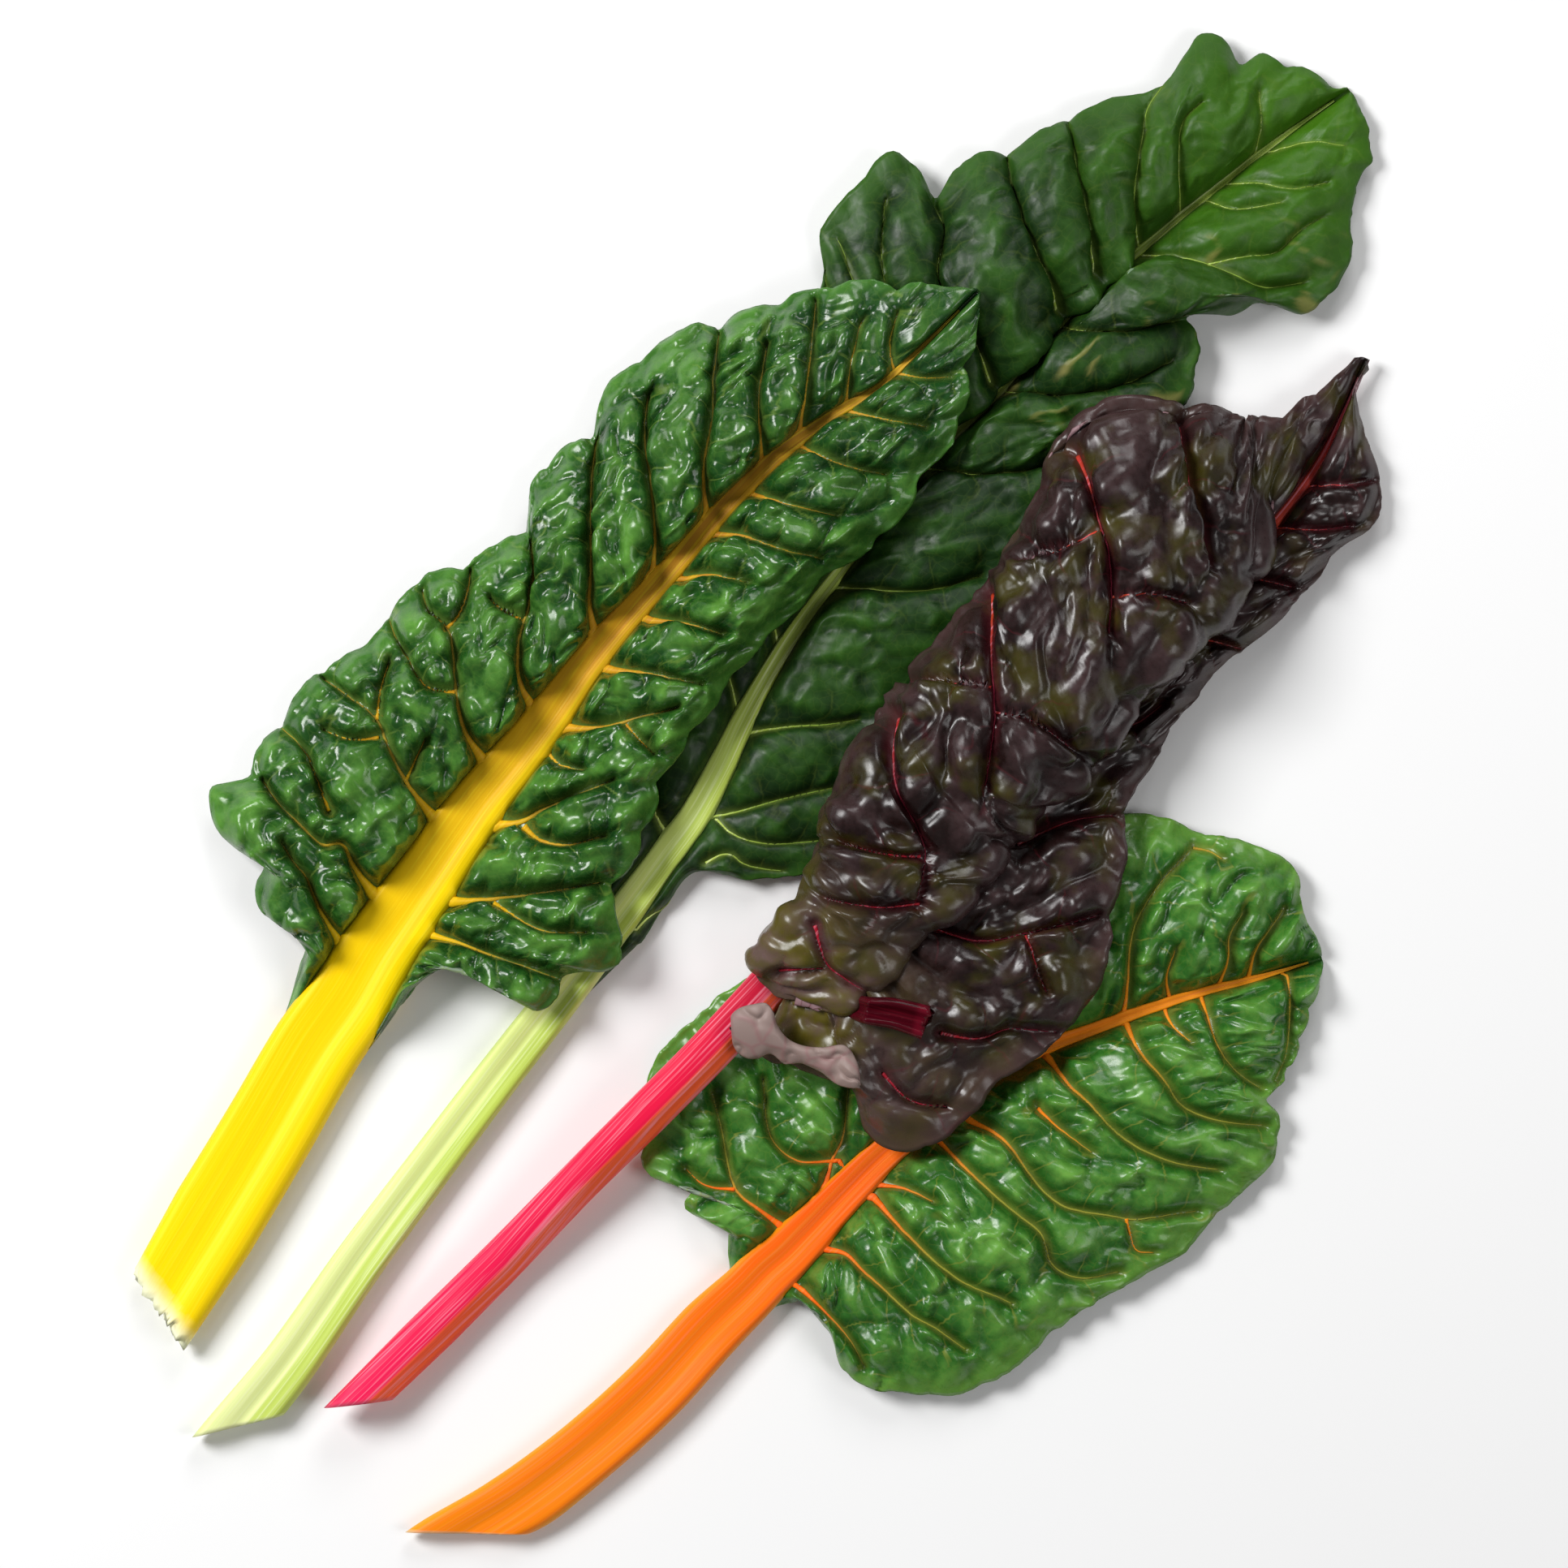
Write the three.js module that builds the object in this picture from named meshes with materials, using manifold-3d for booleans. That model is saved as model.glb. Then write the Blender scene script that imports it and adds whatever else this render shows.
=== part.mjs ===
// Four cut leaves of rainbow chard laid together flat, as a bunch lies on a table.
// Below lie a pale-stalked and an orange-stalked leaf, side by side. Across them lie a
// yellow-stalked leaf with deep pleats and a red-stalked one whose left half is rolled over
// its own midrib. Millimetres: +Y runs from the cut stalks to the leaf tips, +X is to the
// right seen from above, +Z is up, and z = 0 is the surface they rest on.
import * as THREE from "three";
import Module from "manifold-3d";

const wasm = await Module();
wasm.setup();

// ---------------------------------------------------------------- driving dimensions

const BLADE = 1.0; // thickness of a leaf blade
const GAP = 0.35; // clear space kept between one node and the next
const MARGIN_Z = 0.9; // mid-surface height of a blade's margin over what it lies on
const FLANK = BLADE / 2 + GAP; // from a midrib's flank to the blade's own inner edge
const MIDDLE = [0.5, 4.5]; // added to every row below, which puts the origin under the middle
const BED_CELL = 4; // grid of the height map that the two upper leaves lie on
const BED_SIZE = [320, 500];
const BED_SLOPE = 0.4; // steepest way a blade drapes off what is under it
const STALK_SLOPE = 0.13; // the same for a stiff stalk
const BED_CLEAR = 1.2; // air between the lower leaves and the upper ones

// A stalk's section as shares of its width and thickness: a flat underside, rounded flanks
// and a shallow channel along the top.
const SECTION = [
  [-0.22, 0],
  [0.22, 0],
  [0.42, 0.2],
  [0.5, 0.6],
  [0.45, 0.93],
  [0.28, 1],
  [0, 0.84],
  [-0.28, 1],
  [-0.45, 0.93],
  [-0.5, 0.6],
  [-0.42, 0.2],
];

// Each leaf is given by rows along its stalk. A petiole row is [x, y, width, thickness]. A
// rib row adds the two ends of the side veins that leave the midrib there:
// [x, y, width, thickness, left x, left y, left crown, right x, right y, right crown],
// where a crown is how high the blade arches between the midrib and that end. A lobe of the
// margin between two side veins adds its own points, [row, x, y].
const LEAVES = {
  green: {
    stalk: 0xb9cf6a,
    blade: 0x3c7a34,
    slant: 1.3, // how obliquely the stalk is cut, forward on the right
    rows: 3, // rows of facets to a pleat
    pleat: 0.2, // height of a pleat as a share of its width
    bulge: 0.8, // how far a pleat swells past the margin's line
    petiole: [
      [-26.5, -235, 15.5, 7],
      [-27, -212, 14.5, 7.5],
      [-30, -179, 13.5, 7.5],
      [-32, -146, 12.5, 7.2],
      [-33.5, -116, 12, 7],
      [-34.5, -89, 11.5, 6.5],
    ],
    ribs: [
      [-35.5, -70, 11, 6.2, -44.5, -68, 4, -26.5, -65, 4],
      [-37, -44.5, 9.5, 5.6, -48, -52, 4, -27.5, -41, 4],
      [-38, -29.5, 9, 5.2, -56, -35.5, 4, -12.5, -32.5, 4],
      [-41, -14.5, 8.5, 4.8, -68, -13, 4, 0, -11.5, 4],
      [-45, 0.5, 6.5, 4.2, -78.5, 9, 4, -3, 14.5, 4],
      [-49, 23.5, 5, 3.6, -89, 35, 4, -6, 47, 4],
      [-50.5, 46.5, 4, 3.2, -96.5, 64.5, 4, -10.5, 84.5, 4],
      [-51.5, 81.5, 3.4, 2.8, -106.5, 104, 5, -16.5, 122.5, 5],
      [-49, 109, 3.2, 2.6, -97, 140.5, 8, -7.5, 141.5, 7],
      [-48.5, 132, 3, 2.4, -89, 162, 10, -21.5, 160, 9],
      [-46, 153.5, 2.8, 2.3, -82, 181.5, 10, -8.5, 174, 10],
      [-43, 171.5, 2.6, 2.2, -69, 204, 9, 4, 188, 9],
      [-39.5, 190, 2.4, 2.1, -56.5, 221.5, 8, -6.5, 211, 8],
      [-35, 211, 2.2, 2, -44, 231.5, 5, -16, 229, 5],
      [-28.5, 235.5, 2, 1.8, -32.5, 232.8, 2, -24.5, 234, 2],
    ],
    leftLobes: [
      [7.2, -114, 112.5],
      [7.45, -114.5, 128],
      [7.67, -112.5, 141.5],
      [7.85, -105, 142.5],
      [8.2, -97, 148],
      [8.6, -94, 157],
      [11.25, -69, 213],
      [11.5, -69.5, 219],
      [11.75, -64.5, 223.5],
      [12.33, -53.5, 226.5],
      [12.7, -46, 229],
      [13.5, -38, 233],
    ],
    rightLobes: [
      [8.5, -14, 153.5],
      [9.5, -14, 166],
      [10.5, 1, 179],
      [11.33, 2, 196.5],
      [11.67, -2, 203.5],
      [12.4, -11.5, 220],
      [12.67, -11, 224],
      [13.5, -21.5, 232],
    ],
  },
  orange: {
    stalk: 0xf07a22,
    blade: 0x2f7d34,
    slant: 1.6,
    rows: 3,
    pleat: 0.22,
    bulge: 1.2,
    petiole: [
      [39.5, -217.5, 17.5, 6],
      [45, -201.5, 18.5, 7],
      [50, -180, 18, 7.5],
      [53.5, -155, 18, 7.5],
      [54.5, -132.5, 17.5, 7.2],
      [56, -118.5, 16, 7],
    ],
    ribs: [
      [56.5, -111, 15.5, 6.8, 40, -111, 4, 69, -112, 4],
      [57.5, -104, 14.5, 6.4, 27, -113, 3, 80.5, -114.5, 7],
      [58, -96, 13.5, 6, 10, -111.5, 3, 90.5, -120, 8],
      [58.5, -87.5, 12, 5.6, -3, -93, 2.6, 107, -113, 9],
      [59, -79.5, 11, 5.2, -3.5, -72.5, 2.6, 121.5, -98, 10],
      [60, -67.5, 9.5, 4.6, 2, -50, 3, 126.5, -74.5, 10],
      [62.5, -53.5, 8, 4, 10.5, -24, 3.5, 134.5, -50, 10],
      [66, -37.5, 6, 3.4, 21.5, 0.5, 3.5, 140, -21.5, 9],
      [72.5, -20.5, 5, 3, 34.5, 26, 4, 139, 4.5, 9],
      [81.5, -4.5, 3.8, 2.6, 51, 47, 6, 130, 10.5, 8],
      [90.5, 11, 3.2, 2.3, 70, 55.5, 8, 129, 21, 7],
      [98.5, 23.5, 2.6, 2.1, 86.5, 63.5, 8, 127, 29.5, 6],
      [106.5, 34.5, 2.2, 2, 100.5, 60, 5, 123, 37, 4],
      [117, 50.5, 2, 1.8, 112.5, 53, 2, 119.5, 45.5, 2],
    ],
    leftLobes: [
      [1.4, 26, -108.5],
      [1.6, 16, -112.5],
      [2.5, 6.5, -101.5],
      [11.5, 94, 63.5],
      [12.5, 105.5, 55.5],
    ],
    rightLobes: [
      [5.5, 129, -62.5],
      [6.5, 139, -36.5],
      [7.6, 141.5, -1.5],
      [8.5, 135, 9.5],
      [9.4, 129.5, 15.5],
    ],
  },
  yellow: {
    stalk: 0xf5c816,
    blade: 0x1f5c2a,
    slant: -0.45,
    rows: 4,
    pleat: 0.4,
    bulge: 1.4,
    upper: true, // lies across the lower leaves
    petiole: [
      [-63, -224, 23, 8.5],
      [-67, -197, 25.5, 9],
      [-71.5, -168.5, 25, 9],
      [-76, -143, 24.5, 9],
    ],
    ribs: [
      [-77.5, -127, 23.5, 8.6, -97.5, -124.5, 5, -62.5, -120.5, 5],
      [-80, -113, 22, 8.2, -120, -115.5, 9, -54, -96, 7],
      [-81.5, -98.5, 20, 7.6, -138.5, -99.5, 10, -35.5, -84.5, 8],
      [-82.5, -89, 19, 7.2, -140.5, -82, 11, -28.5, -69.5, 8],
      [-84, -74.5, 17.5, 6.8, -141, -63, 11, -41, -58, 8],
      [-85, -63.5, 16, 6.2, -137.5, -41, 11, -44.5, -42, 8],
      [-85, -49.5, 14.5, 5.6, -131, -18.5, 11, -50, -29, 8],
      [-85.5, -32.5, 12.5, 5, -124, 0.5, 10, -52, -13, 8],
      [-86.5, -17, 10.5, 4.4, -130, 17, 10, -53.5, 6, 8],
      [-86.5, -2.5, 9, 3.8, -127, 31, 10, -53, 21, 8],
      [-85.5, 18.5, 7, 3.2, -123, 56.5, 9, -51.5, 41, 8],
      [-85, 39.5, 6, 2.8, -119, 77, 8, -47, 60, 7],
      [-83, 58.5, 5, 2.5, -110, 91, 7, -49, 80, 6],
      [-79.5, 75, 3.5, 2.2, -101.5, 104.5, 5, -51.5, 99, 5],
      [-74, 92, 2.4, 2, -88, 115, 4, -59, 111, 4],
      [-70, 128, 2, 1.8, -76, 124.5, 2, -64.5, 121.5, 2],
    ],
    leftLobes: [
      [0.25, -103.5, -124.5],
      [0.5, -111, -125.5],
      [0.75, -117.5, -120],
      [1.25, -127, -117],
      [1.5, -135, -115.5],
      [1.75, -142.5, -109],
      [2.5, -139.5, -91],
      [4.6, -135.5, -52.5],
      [5.5, -135.5, -28],
      [6.6, -126, -8.5],
      [7.5, -129, 9.5],
    ],
    rightLobes: [
      [0.25, -64, -115.5],
      [0.5, -62, -107],
      [0.75, -59.5, -100.5],
      [1.25, -45.5, -97],
      [1.5, -37.5, -98.5],
      [1.75, -34.5, -92.5],
      [2.5, -28.5, -76.5],
      [3.5, -37, -64.5],
    ],
  },
  red: {
    stalk: 0xc81e4c,
    blade: 0x4a2430,
    slant: 1.27,
    rows: 4,
    pleat: 0.24,
    bulge: 1.4,
    upper: true,
    petiole: [
      [-5.5, -209, 11.5, 8],
      [-3, -182.5, 12.5, 9],
      [-0.5, -154.5, 12, 9.5],
      [1.5, -126, 11.5, 9.5],
      [4, -97.5, 12, 9],
      [6, -73, 12, 8.5],
    ],
    ribs: [
      [7, -50.5, 12, 7.6, -2, -52.5, 8, 15.5, -69, 3],
      [7, -45.5, 11.5, 7.2, -3, -46, 14, 25.5, -65, 4],
      [8, -39.5, 11.5, 6.8, -4, -38, 18, 42, -59.5, 6],
      [8.5, -34, 10.5, 6.4, -4.5, -29, 20, 54, -66.5, 8],
      [9.5, -29.5, 10, 6, -5.5, -20, 21, 67.5, -58.5, 8],
      [10, -25, 9, 5.6, -7, -11.5, 22, 72, -32.5, 8],
      [11, -18, 8.5, 5, -12, -0.5, 22, 76.5, -2, 8],
      [13.5, -3.5, 7, 4.4, -15.5, 26.5, 22, 66.5, 22.5, 8],
      [16, 17.5, 5.5, 3.8, -16, 62, 22, 50, 49, 7],
      [18.5, 41.5, 5, 3.3, -22.5, 100, 21, 46.5, 71.5, 6],
      [21.5, 65.5, 4, 2.9, -26, 124, 20, 45.5, 90, 6],
      [25, 88.5, 3.5, 2.6, -8.5, 139, 18, 50, 117.5, 6],
      [29, 111.5, 3, 2.4, 11, 152, 14, 49.5, 135, 6],
      [31.5, 134, 2.5, 2.2, 14, 161, 9, 52, 153, 6],
      [30, 153, 2.2, 2, 18.5, 172, 5, 37, 167, 5],
      [23, 182.5, 2, 1.8, 19.5, 180.5, 2, 26.3, 179.5, 2],
    ],
    leftLobes: [],
    rightLobes: [
      [14.4, 31.5, 170.5],
      [14.7, 28.5, 175],
    ],
    // Rib rows where the rolled half's own, wider pleats meet.
    leftValleys: [0, 2.5, 5, 6.4, 7.7, 9, 10.3, 11.6, 13, 14, 15],
    // Where the rolled left half turns back, right of the midrib, one point to a rib row.
    roll: [
      [16, -48.5],
      [23, -44],
      [27, -36.5],
      [27.5, -29],
      [27, -22],
      [26.5, -15.5],
      [28, -5],
      [28.5, 9],
      [27.5, 25],
      [31, 50],
      [30, 73],
      [33, 98],
      [32, 122],
      [32.5, 136],
      [30, 153],
      [23, 182.5],
    ],
  },
};

// Shares of a half blade's width at which its facets meet, from the midrib to the margin.
const COLUMNS = [0, 0.18, 0.4, 0.62, 0.83, 1];

// The same for the rolled half: [towards the margin, towards the roll, height as a share of
// the crown, height in mm over the midrib's top], following the blade from the midrib's
// left flank, up and over the midrib to the right, and back across to the left margin.
const ROLLED = [
  [0, 0, 0, -1],
  [0.1, 0, 0, 1.2],
  [0.07, 0.1, 0.08, 3.2],
  [0, 0.55, 0.22, 4],
  [0, 0.93, 0.42, 3.6],
  [0, 0.98, 0.72, 2],
  [0.04, 0.62, 0.96, 1],
  [0.3, 0.18, 1.04, 0],
  [0.6, 0, 0.92, 0],
  [0.86, 0, 0.6, 0],
  [1, 0, 0.12, 0],
];

// ---------------------------------------------------------------- small helpers

const lerp = (a, b, t) => a + (b - a) * t;
const smooth = (t) => {
  const c = Math.min(1, Math.max(0, t));
  return c * c * (3 - 2 * c);
};

// How far a pleat has swelled at row s, from 0 in a valley to 1 on a crest. The valleys lie
// on the rib rows unless a list of others is given.
function swellAt(s, valleys) {
  if (!valleys) return (1 - Math.cos(2 * Math.PI * s)) / 2;
  const k = Math.max(1, valleys.findIndex((valley) => valley >= s));
  const t = (s - valleys[k - 1]) / (valleys[k] - valleys[k - 1]);
  return (1 - Math.cos(2 * Math.PI * t)) / 2;
}

// The value of a list of numbers at a fractional index.
function along(list, u) {
  const i = Math.min(list.length - 2, Math.max(0, Math.floor(u)));
  return lerp(list[i], list[i + 1], u - i);
}

const curve = (points) =>
  new THREE.CatmullRomCurve3(
    points.map(([x, y]) => new THREE.Vector3(x + MIDDLE[0], y + MIDDLE[1], 0)),
  );

const atIndex = (path, u) => path.getPoint(u / (path.points.length - 1));

// A leaf's margin: a curve through the outer ends of its side veins, [x, y] in the order of
// their rows, and through the points of its lobes, [row, x, y].
class Margin {
  constructor(ends, lobes) {
    const knots = [...ends.map((end, row) => [row, ...end]), ...lobes];
    knots.sort(([a], [b]) => a - b);
    this.rows = knots.map(([row]) => row);
    this.path = curve(knots.map(([, x, y]) => [x, y]));
  }

  // The margin's point at row s.
  at(s) {
    const k = Math.max(1, this.rows.findIndex((row) => row >= s));
    const t = (s - this.rows[k - 1]) / (this.rows[k] - this.rows[k - 1]);
    return atIndex(this.path, k - 1 + t);
  }
}

// A closed manifold solid from vertices and triangles, turned to face outwards.
function solid(vertices, triangles) {
  const make = (tris) =>
    new wasm.Manifold(
      new wasm.Mesh({
        numProp: 3,
        vertProperties: new Float32Array(vertices.flatMap((p) => [p.x, p.y, p.z])),
        triVerts: new Uint32Array(tris.flat()),
      }),
    );
  const made = make(triangles);
  return made.volume() > 0 ? made : make(triangles.map(([a, b, c]) => [a, c, b]));
}

// A solid through rings of equally many points, capped flat at both ends.
function loft(rings) {
  const n = rings[0].length;
  const triangles = [];
  for (let i = 1; i < n - 1; i++) {
    const end = (rings.length - 1) * n;
    triangles.push([0, i + 1, i], [end, end + i, end + i + 1]);
  }
  for (let r = 0; r < rings.length - 1; r++) {
    for (let i = 0; i < n; i++) {
      const j = (i + 1) % n;
      const [a, b] = [r * n + i, r * n + j];
      triangles.push([a, b, b + n], [a, b + n, a + n]);
    }
  }
  return solid(rings.flat(), triangles);
}

// A sheet of even thickness about a grid of points, without the cells that keep() drops.
// Both faces are split along the same diagonals, and every free edge gets a rim.
function sheet(grid, keep) {
  const wide = grid[0].length;
  const points = grid.flat();
  const facets = [];
  for (let i = 0; i < grid.length - 1; i++) {
    for (let j = 0; j < wide - 1; j++) {
      if (!keep(i, j)) continue;
      const a = i * wide + j;
      facets.push([a, a + 1, a + wide + 1], [a, a + wide + 1, a + wide]);
    }
  }
  const normals = points.map(() => new THREE.Vector3());
  const edges = new Map();
  for (const [a, b, c] of facets) {
    const face = new THREE.Triangle(points[a], points[b], points[c]);
    const normal = face.getNormal(new THREE.Vector3()).multiplyScalar(face.getArea());
    for (const k of [a, b, c]) normals[k].add(normal);
    for (const [from, to] of [
      [a, b],
      [b, c],
      [c, a],
    ]) {
      if (!edges.delete(`${to},${from}`)) edges.set(`${from},${to}`, [from, to]);
    }
  }
  const used = [...new Set(facets.flat())];
  const place = new Map(used.map((k, i) => [k, i]));
  const side = (k, way) =>
    points[k].clone().addScaledVector(normals[k].clone().normalize(), (way * BLADE) / 2);
  const vertices = [...used.map((k) => side(k, 1)), ...used.map((k) => side(k, -1))];
  const top = (k) => place.get(k);
  const under = (k) => place.get(k) + used.length;
  const triangles = facets.flatMap(([a, b, c]) => [
    [top(a), top(b), top(c)],
    [under(a), under(c), under(b)],
  ]);
  for (const [from, to] of edges.values()) {
    triangles.push([top(to), top(from), under(from)], [top(to), under(from), under(to)]);
  }
  return { body: solid(vertices, triangles), normals: normals.map((n) => n.normalize()) };
}

// ---------------------------------------------------------------- what lies underneath

// A height map of the lower leaves, sloping down around them as a limp blade would drape.
class Bed {
  constructor(bodies) {
    this.nx = Math.ceil(BED_SIZE[0] / BED_CELL);
    this.ny = Math.ceil(BED_SIZE[1] / BED_CELL);
    const tops = new Float32Array(this.nx * this.ny);
    for (const body of bodies) this.record(tops, body.getMesh());
    this.high = this.drape(tops);
  }

  index(x, y) {
    const i = Math.round((x + BED_SIZE[0] / 2) / BED_CELL);
    const j = Math.round((y + BED_SIZE[1] / 2) / BED_CELL);
    return j * this.nx + i;
  }

  record(tops, { triVerts, vertProperties }) {
    const corner = (k) => new THREE.Vector3().fromArray(vertProperties, 3 * k);
    for (let f = 0; f < triVerts.length; f += 3) {
      const [a, b, c] = [0, 1, 2].map((k) => corner(triVerts[f + k]));
      for (let u = 0; u <= 4; u++) {
        for (let v = 0; u + v <= 4; v++) {
          const p = a.clone().multiplyScalar(1 - (u + v) / 4);
          p.addScaledVector(b, u / 4).addScaledVector(c, v / 4);
          const cell = this.index(p.x, p.y);
          tops[cell] = Math.max(tops[cell], p.z);
        }
      }
    }
  }

  drape(tops) {
    const reach = Math.ceil(32 / BED_CELL);
    return tops.map((_, cell) => {
      const [i, j] = [cell % this.nx, Math.floor(cell / this.nx)];
      let high = 0;
      for (let dj = -reach; dj <= reach; dj++) {
        for (let di = -reach; di <= reach; di++) {
          const [a, b] = [i + di, j + dj];
          if (a < 0 || b < 0 || a >= this.nx || b >= this.ny) continue;
          const fall = BED_SLOPE * BED_CELL * Math.hypot(di, dj);
          high = Math.max(high, tops[b * this.nx + a] - fall);
        }
      }
      return high > 0 ? high + BED_CLEAR : 0;
    });
  }

  at(x, y) {
    const u = (x + BED_SIZE[0] / 2) / BED_CELL;
    const v = (y + BED_SIZE[1] / 2) / BED_CELL;
    const [i, j] = [Math.floor(u), Math.floor(v)];
    const row = (k) =>
      lerp(this.high[k * this.nx + i], this.high[k * this.nx + i + 1], u - i);
    return lerp(row(j), row(j + 1), v - j);
  }
}

// ---------------------------------------------------------------- one leaf

class Leaf {
  constructor(spec, bed) {
    this.spec = spec;
    this.bed = bed;
    this.first = spec.petiole.length;
    this.last = spec.ribs.length - 1;
    const rows = [...spec.petiole, ...spec.ribs];
    this.centre = curve(rows);
    this.widths = rows.map((row) => row[2]);
    this.depths = rows.map((row) => row[3]);
    this.margins = {
      [-1]: new Margin(spec.ribs.map((rib) => [rib[4], rib[5]]), spec.leftLobes),
      1: new Margin(spec.ribs.map((rib) => [rib[7], rib[8]]), spec.rightLobes),
    };
    this.crowns = {
      [-1]: spec.ribs.map((rib) => rib[6]),
      1: spec.ribs.map((rib) => rib[9]),
    };
    this.roll = spec.roll && curve(spec.roll);
    this.levels = this.stalkLevels();
  }

  swell(s, side) {
    return swellAt(s, side < 0 && this.spec.leftValleys);
  }

  // Point, heading and rightward direction of the stalk at row u.
  station(u) {
    const t = u / (this.centre.points.length - 1);
    const heading = this.centre.getTangent(t);
    const right = new THREE.Vector3(heading.y, -heading.x, 0);
    return { point: this.centre.getPoint(t), heading, right };
  }

  // Height of the stalk's underside at each row: on the table, or over the lower leaves.
  stalkLevels() {
    const stations = this.widths.map((width, u) => ({ width, ...this.station(u) }));
    const under = stations.map(({ point, right, width }) => {
      if (!this.bed) return 0;
      const probes = [-0.5, 0, 0.5].map((k) => point.clone().addScaledVector(right, k * width));
      return Math.max(...probes.map((p) => this.bed.at(p.x, p.y)));
    });
    return stations.map(({ point }) =>
      Math.max(
        0,
        ...under.map((z, k) => z - STALK_SLOPE * point.distanceTo(stations[k].point)),
      ),
    );
  }

  // One cross-section of the stalk, cut obliquely near its base.
  ring(u) {
    const { point, heading, right } = this.station(u);
    const [width, depth] = [along(this.widths, u), along(this.depths, u)];
    const travelled = point.distanceTo(this.centre.points[0]);
    const slant = this.spec.slant * Math.max(0, 1 - travelled / 45);
    return SECTION.map(([across, up]) =>
      point
        .clone()
        .addScaledVector(right, across * width)
        .addScaledVector(heading, across * width * slant)
        .setZ(along(this.levels, u) + up * depth),
    );
  }

  // Height over the surface beneath at which the blade leaves the midrib's flank.
  attach(u) {
    return Math.max(0.65, 0.8 * along(this.depths, u) - 0.9);
  }

  // A point of the blade's mid-surface. s counts rib rows, side is -1 (left) or 1 (right)
  // and v runs from the midrib's flank to the margin.
  bladePoint(s, side, v) {
    const u = this.first + s;
    const [flat, end, root] = this.planPoint(s, side, v);
    const level = along(this.levels, u);
    const below = this.bed ? this.bed.at(flat.x, flat.y) : 0;
    const base = Math.max(below, lerp(level, below, smooth(v / 0.7)));
    const attach = this.attach(u);
    const arch = along(this.crowns[side], s) - (attach + MARGIN_Z) / 2;
    const k = Math.min(this.last - 1, Math.floor(s));
    const near = this.planPoint(k, side, v)[0];
    const spacing = near.distanceTo(this.planPoint(k + 1, side, v)[0]);
    const pleat = this.spec.pleat * spacing * smooth(v / 0.3) * (1 - 0.3 * v);
    const swell = this.swell(s, side);
    const local = lerp(attach, MARGIN_Z, v) + Math.max(0, arch) * 4 * v * (1 - v);
    flat.z = base + local + pleat * swell;
    return { point: flat, end, root, base, pleat: pleat * swell };
  }

  // The same point seen from above, and the margin's point on that row.
  planPoint(s, side, v) {
    const { point, right } = this.station(this.first + s);
    const width = along(this.widths, this.first + s);
    const gap = this.roll && side < 0 ? FLANK + 0.6 : FLANK;
    const root = point.clone().addScaledVector(right, side * (width / 2 + gap));
    const end = this.margins[side].at(s);
    const swell = this.swell(s, side);
    end.addScaledVector(end.clone().sub(root).normalize(), this.spec.bulge * (swell - 0.4));
    return [root.clone().lerp(end, v), end, root];
  }

  // The rolled half, which climbs over the midrib and turns back at the roll line. Past the
  // last fifth of the leaf it opens into a plain half blade.
  rolledPoint(s, column) {
    const v = column / (ROLLED.length - 1);
    const flat = this.bladePoint(s, -1, v);
    const rolled = smooth((this.last - 1 - s) / 1.6);
    const [outward, over, share, lift] = ROLLED[column];
    const u = this.first + s;
    const turn = atIndex(this.roll, s);
    const place = flat.root
      .clone()
      .addScaledVector(flat.end.clone().sub(flat.root), outward)
      .addScaledVector(turn.clone().sub(flat.root), over);
    const crown = along(this.crowns[-1], s);
    const level = Math.max(along(this.levels, u), flat.base);
    const midribTop = along(this.levels, u) + along(this.depths, u);
    const arched = lerp(midribTop + lift, level + crown, share);
    place.z = arched + 0.8 * flat.pleat * share;
    if (column === 0) place.z = flat.point.z;
    if (column === ROLLED.length - 1) place.z = flat.point.z;
    return flat.point.clone().lerp(place, rolled);
  }

  // The grid of the whole blade, from the left margin to the right one.
  grid() {
    const { rows } = this.spec;
    const left = this.roll ? ROLLED.map((_, c) => c) : COLUMNS.map((_, c) => c);
    const grid = [];
    for (let i = 0; i <= this.last * rows; i++) {
      const s = i / rows;
      const leftHalf = left.map((c) =>
        this.roll ? this.rolledPoint(s, c) : this.bladePoint(s, -1, COLUMNS[c]).point,
      );
      const rightHalf = COLUMNS.map((v) => this.bladePoint(s, 1, v).point);
      grid.push([...leftHalf.reverse(), ...rightHalf]);
    }
    return { grid, middle: left.length - 1 };
  }

  // A side vein: a thin wedge lying in the valley between two pleats.
  vein(grid, normals, row, columns, taper) {
    const wide = grid[0].length;
    const u = this.first + row / this.spec.rows;
    const { point, right } = this.station(u);
    const side = Math.sign(grid[row][columns[1]].clone().sub(grid[row][columns[0]]).dot(right));
    const inside = point.clone().addScaledVector(right, side * along(this.widths, u) * 0.2);
    inside.z = along(this.levels, u) + 0.62 * along(this.depths, u);
    const spots = columns.map((j) => grid[row][j]);
    const rings = [inside, ...spots].map((spot, n) => {
      const j = columns[Math.max(0, n - 1)];
      const normal = normals[row * wide + j];
      const fore = grid[row + 1][j].clone().sub(grid[row - 1][j]);
      const across = fore.addScaledVector(normal, -fore.dot(normal)).normalize();
      const rise = [-1, 1].map((way) => {
        const step = grid[row + way][j].clone().sub(grid[row][j]);
        const height = step.dot(normal);
        return height / Math.max(0.5, Math.abs(step.dot(across)));
      });
      const half = lerp(taper / 2, 0.3, n / columns.length);
      const steep = Math.max(0.35, ...rise) * half + 0.25;
      const foot = n === 0 ? spot.clone() : spot.clone().addScaledVector(normal, FLANK + 0.05);
      const crest = foot.clone().addScaledVector(normal, steep);
      return [
        foot,
        crest.clone().addScaledVector(across, half),
        crest.clone().addScaledVector(across, -half),
      ];
    });
    return loft(rings);
  }

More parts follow.
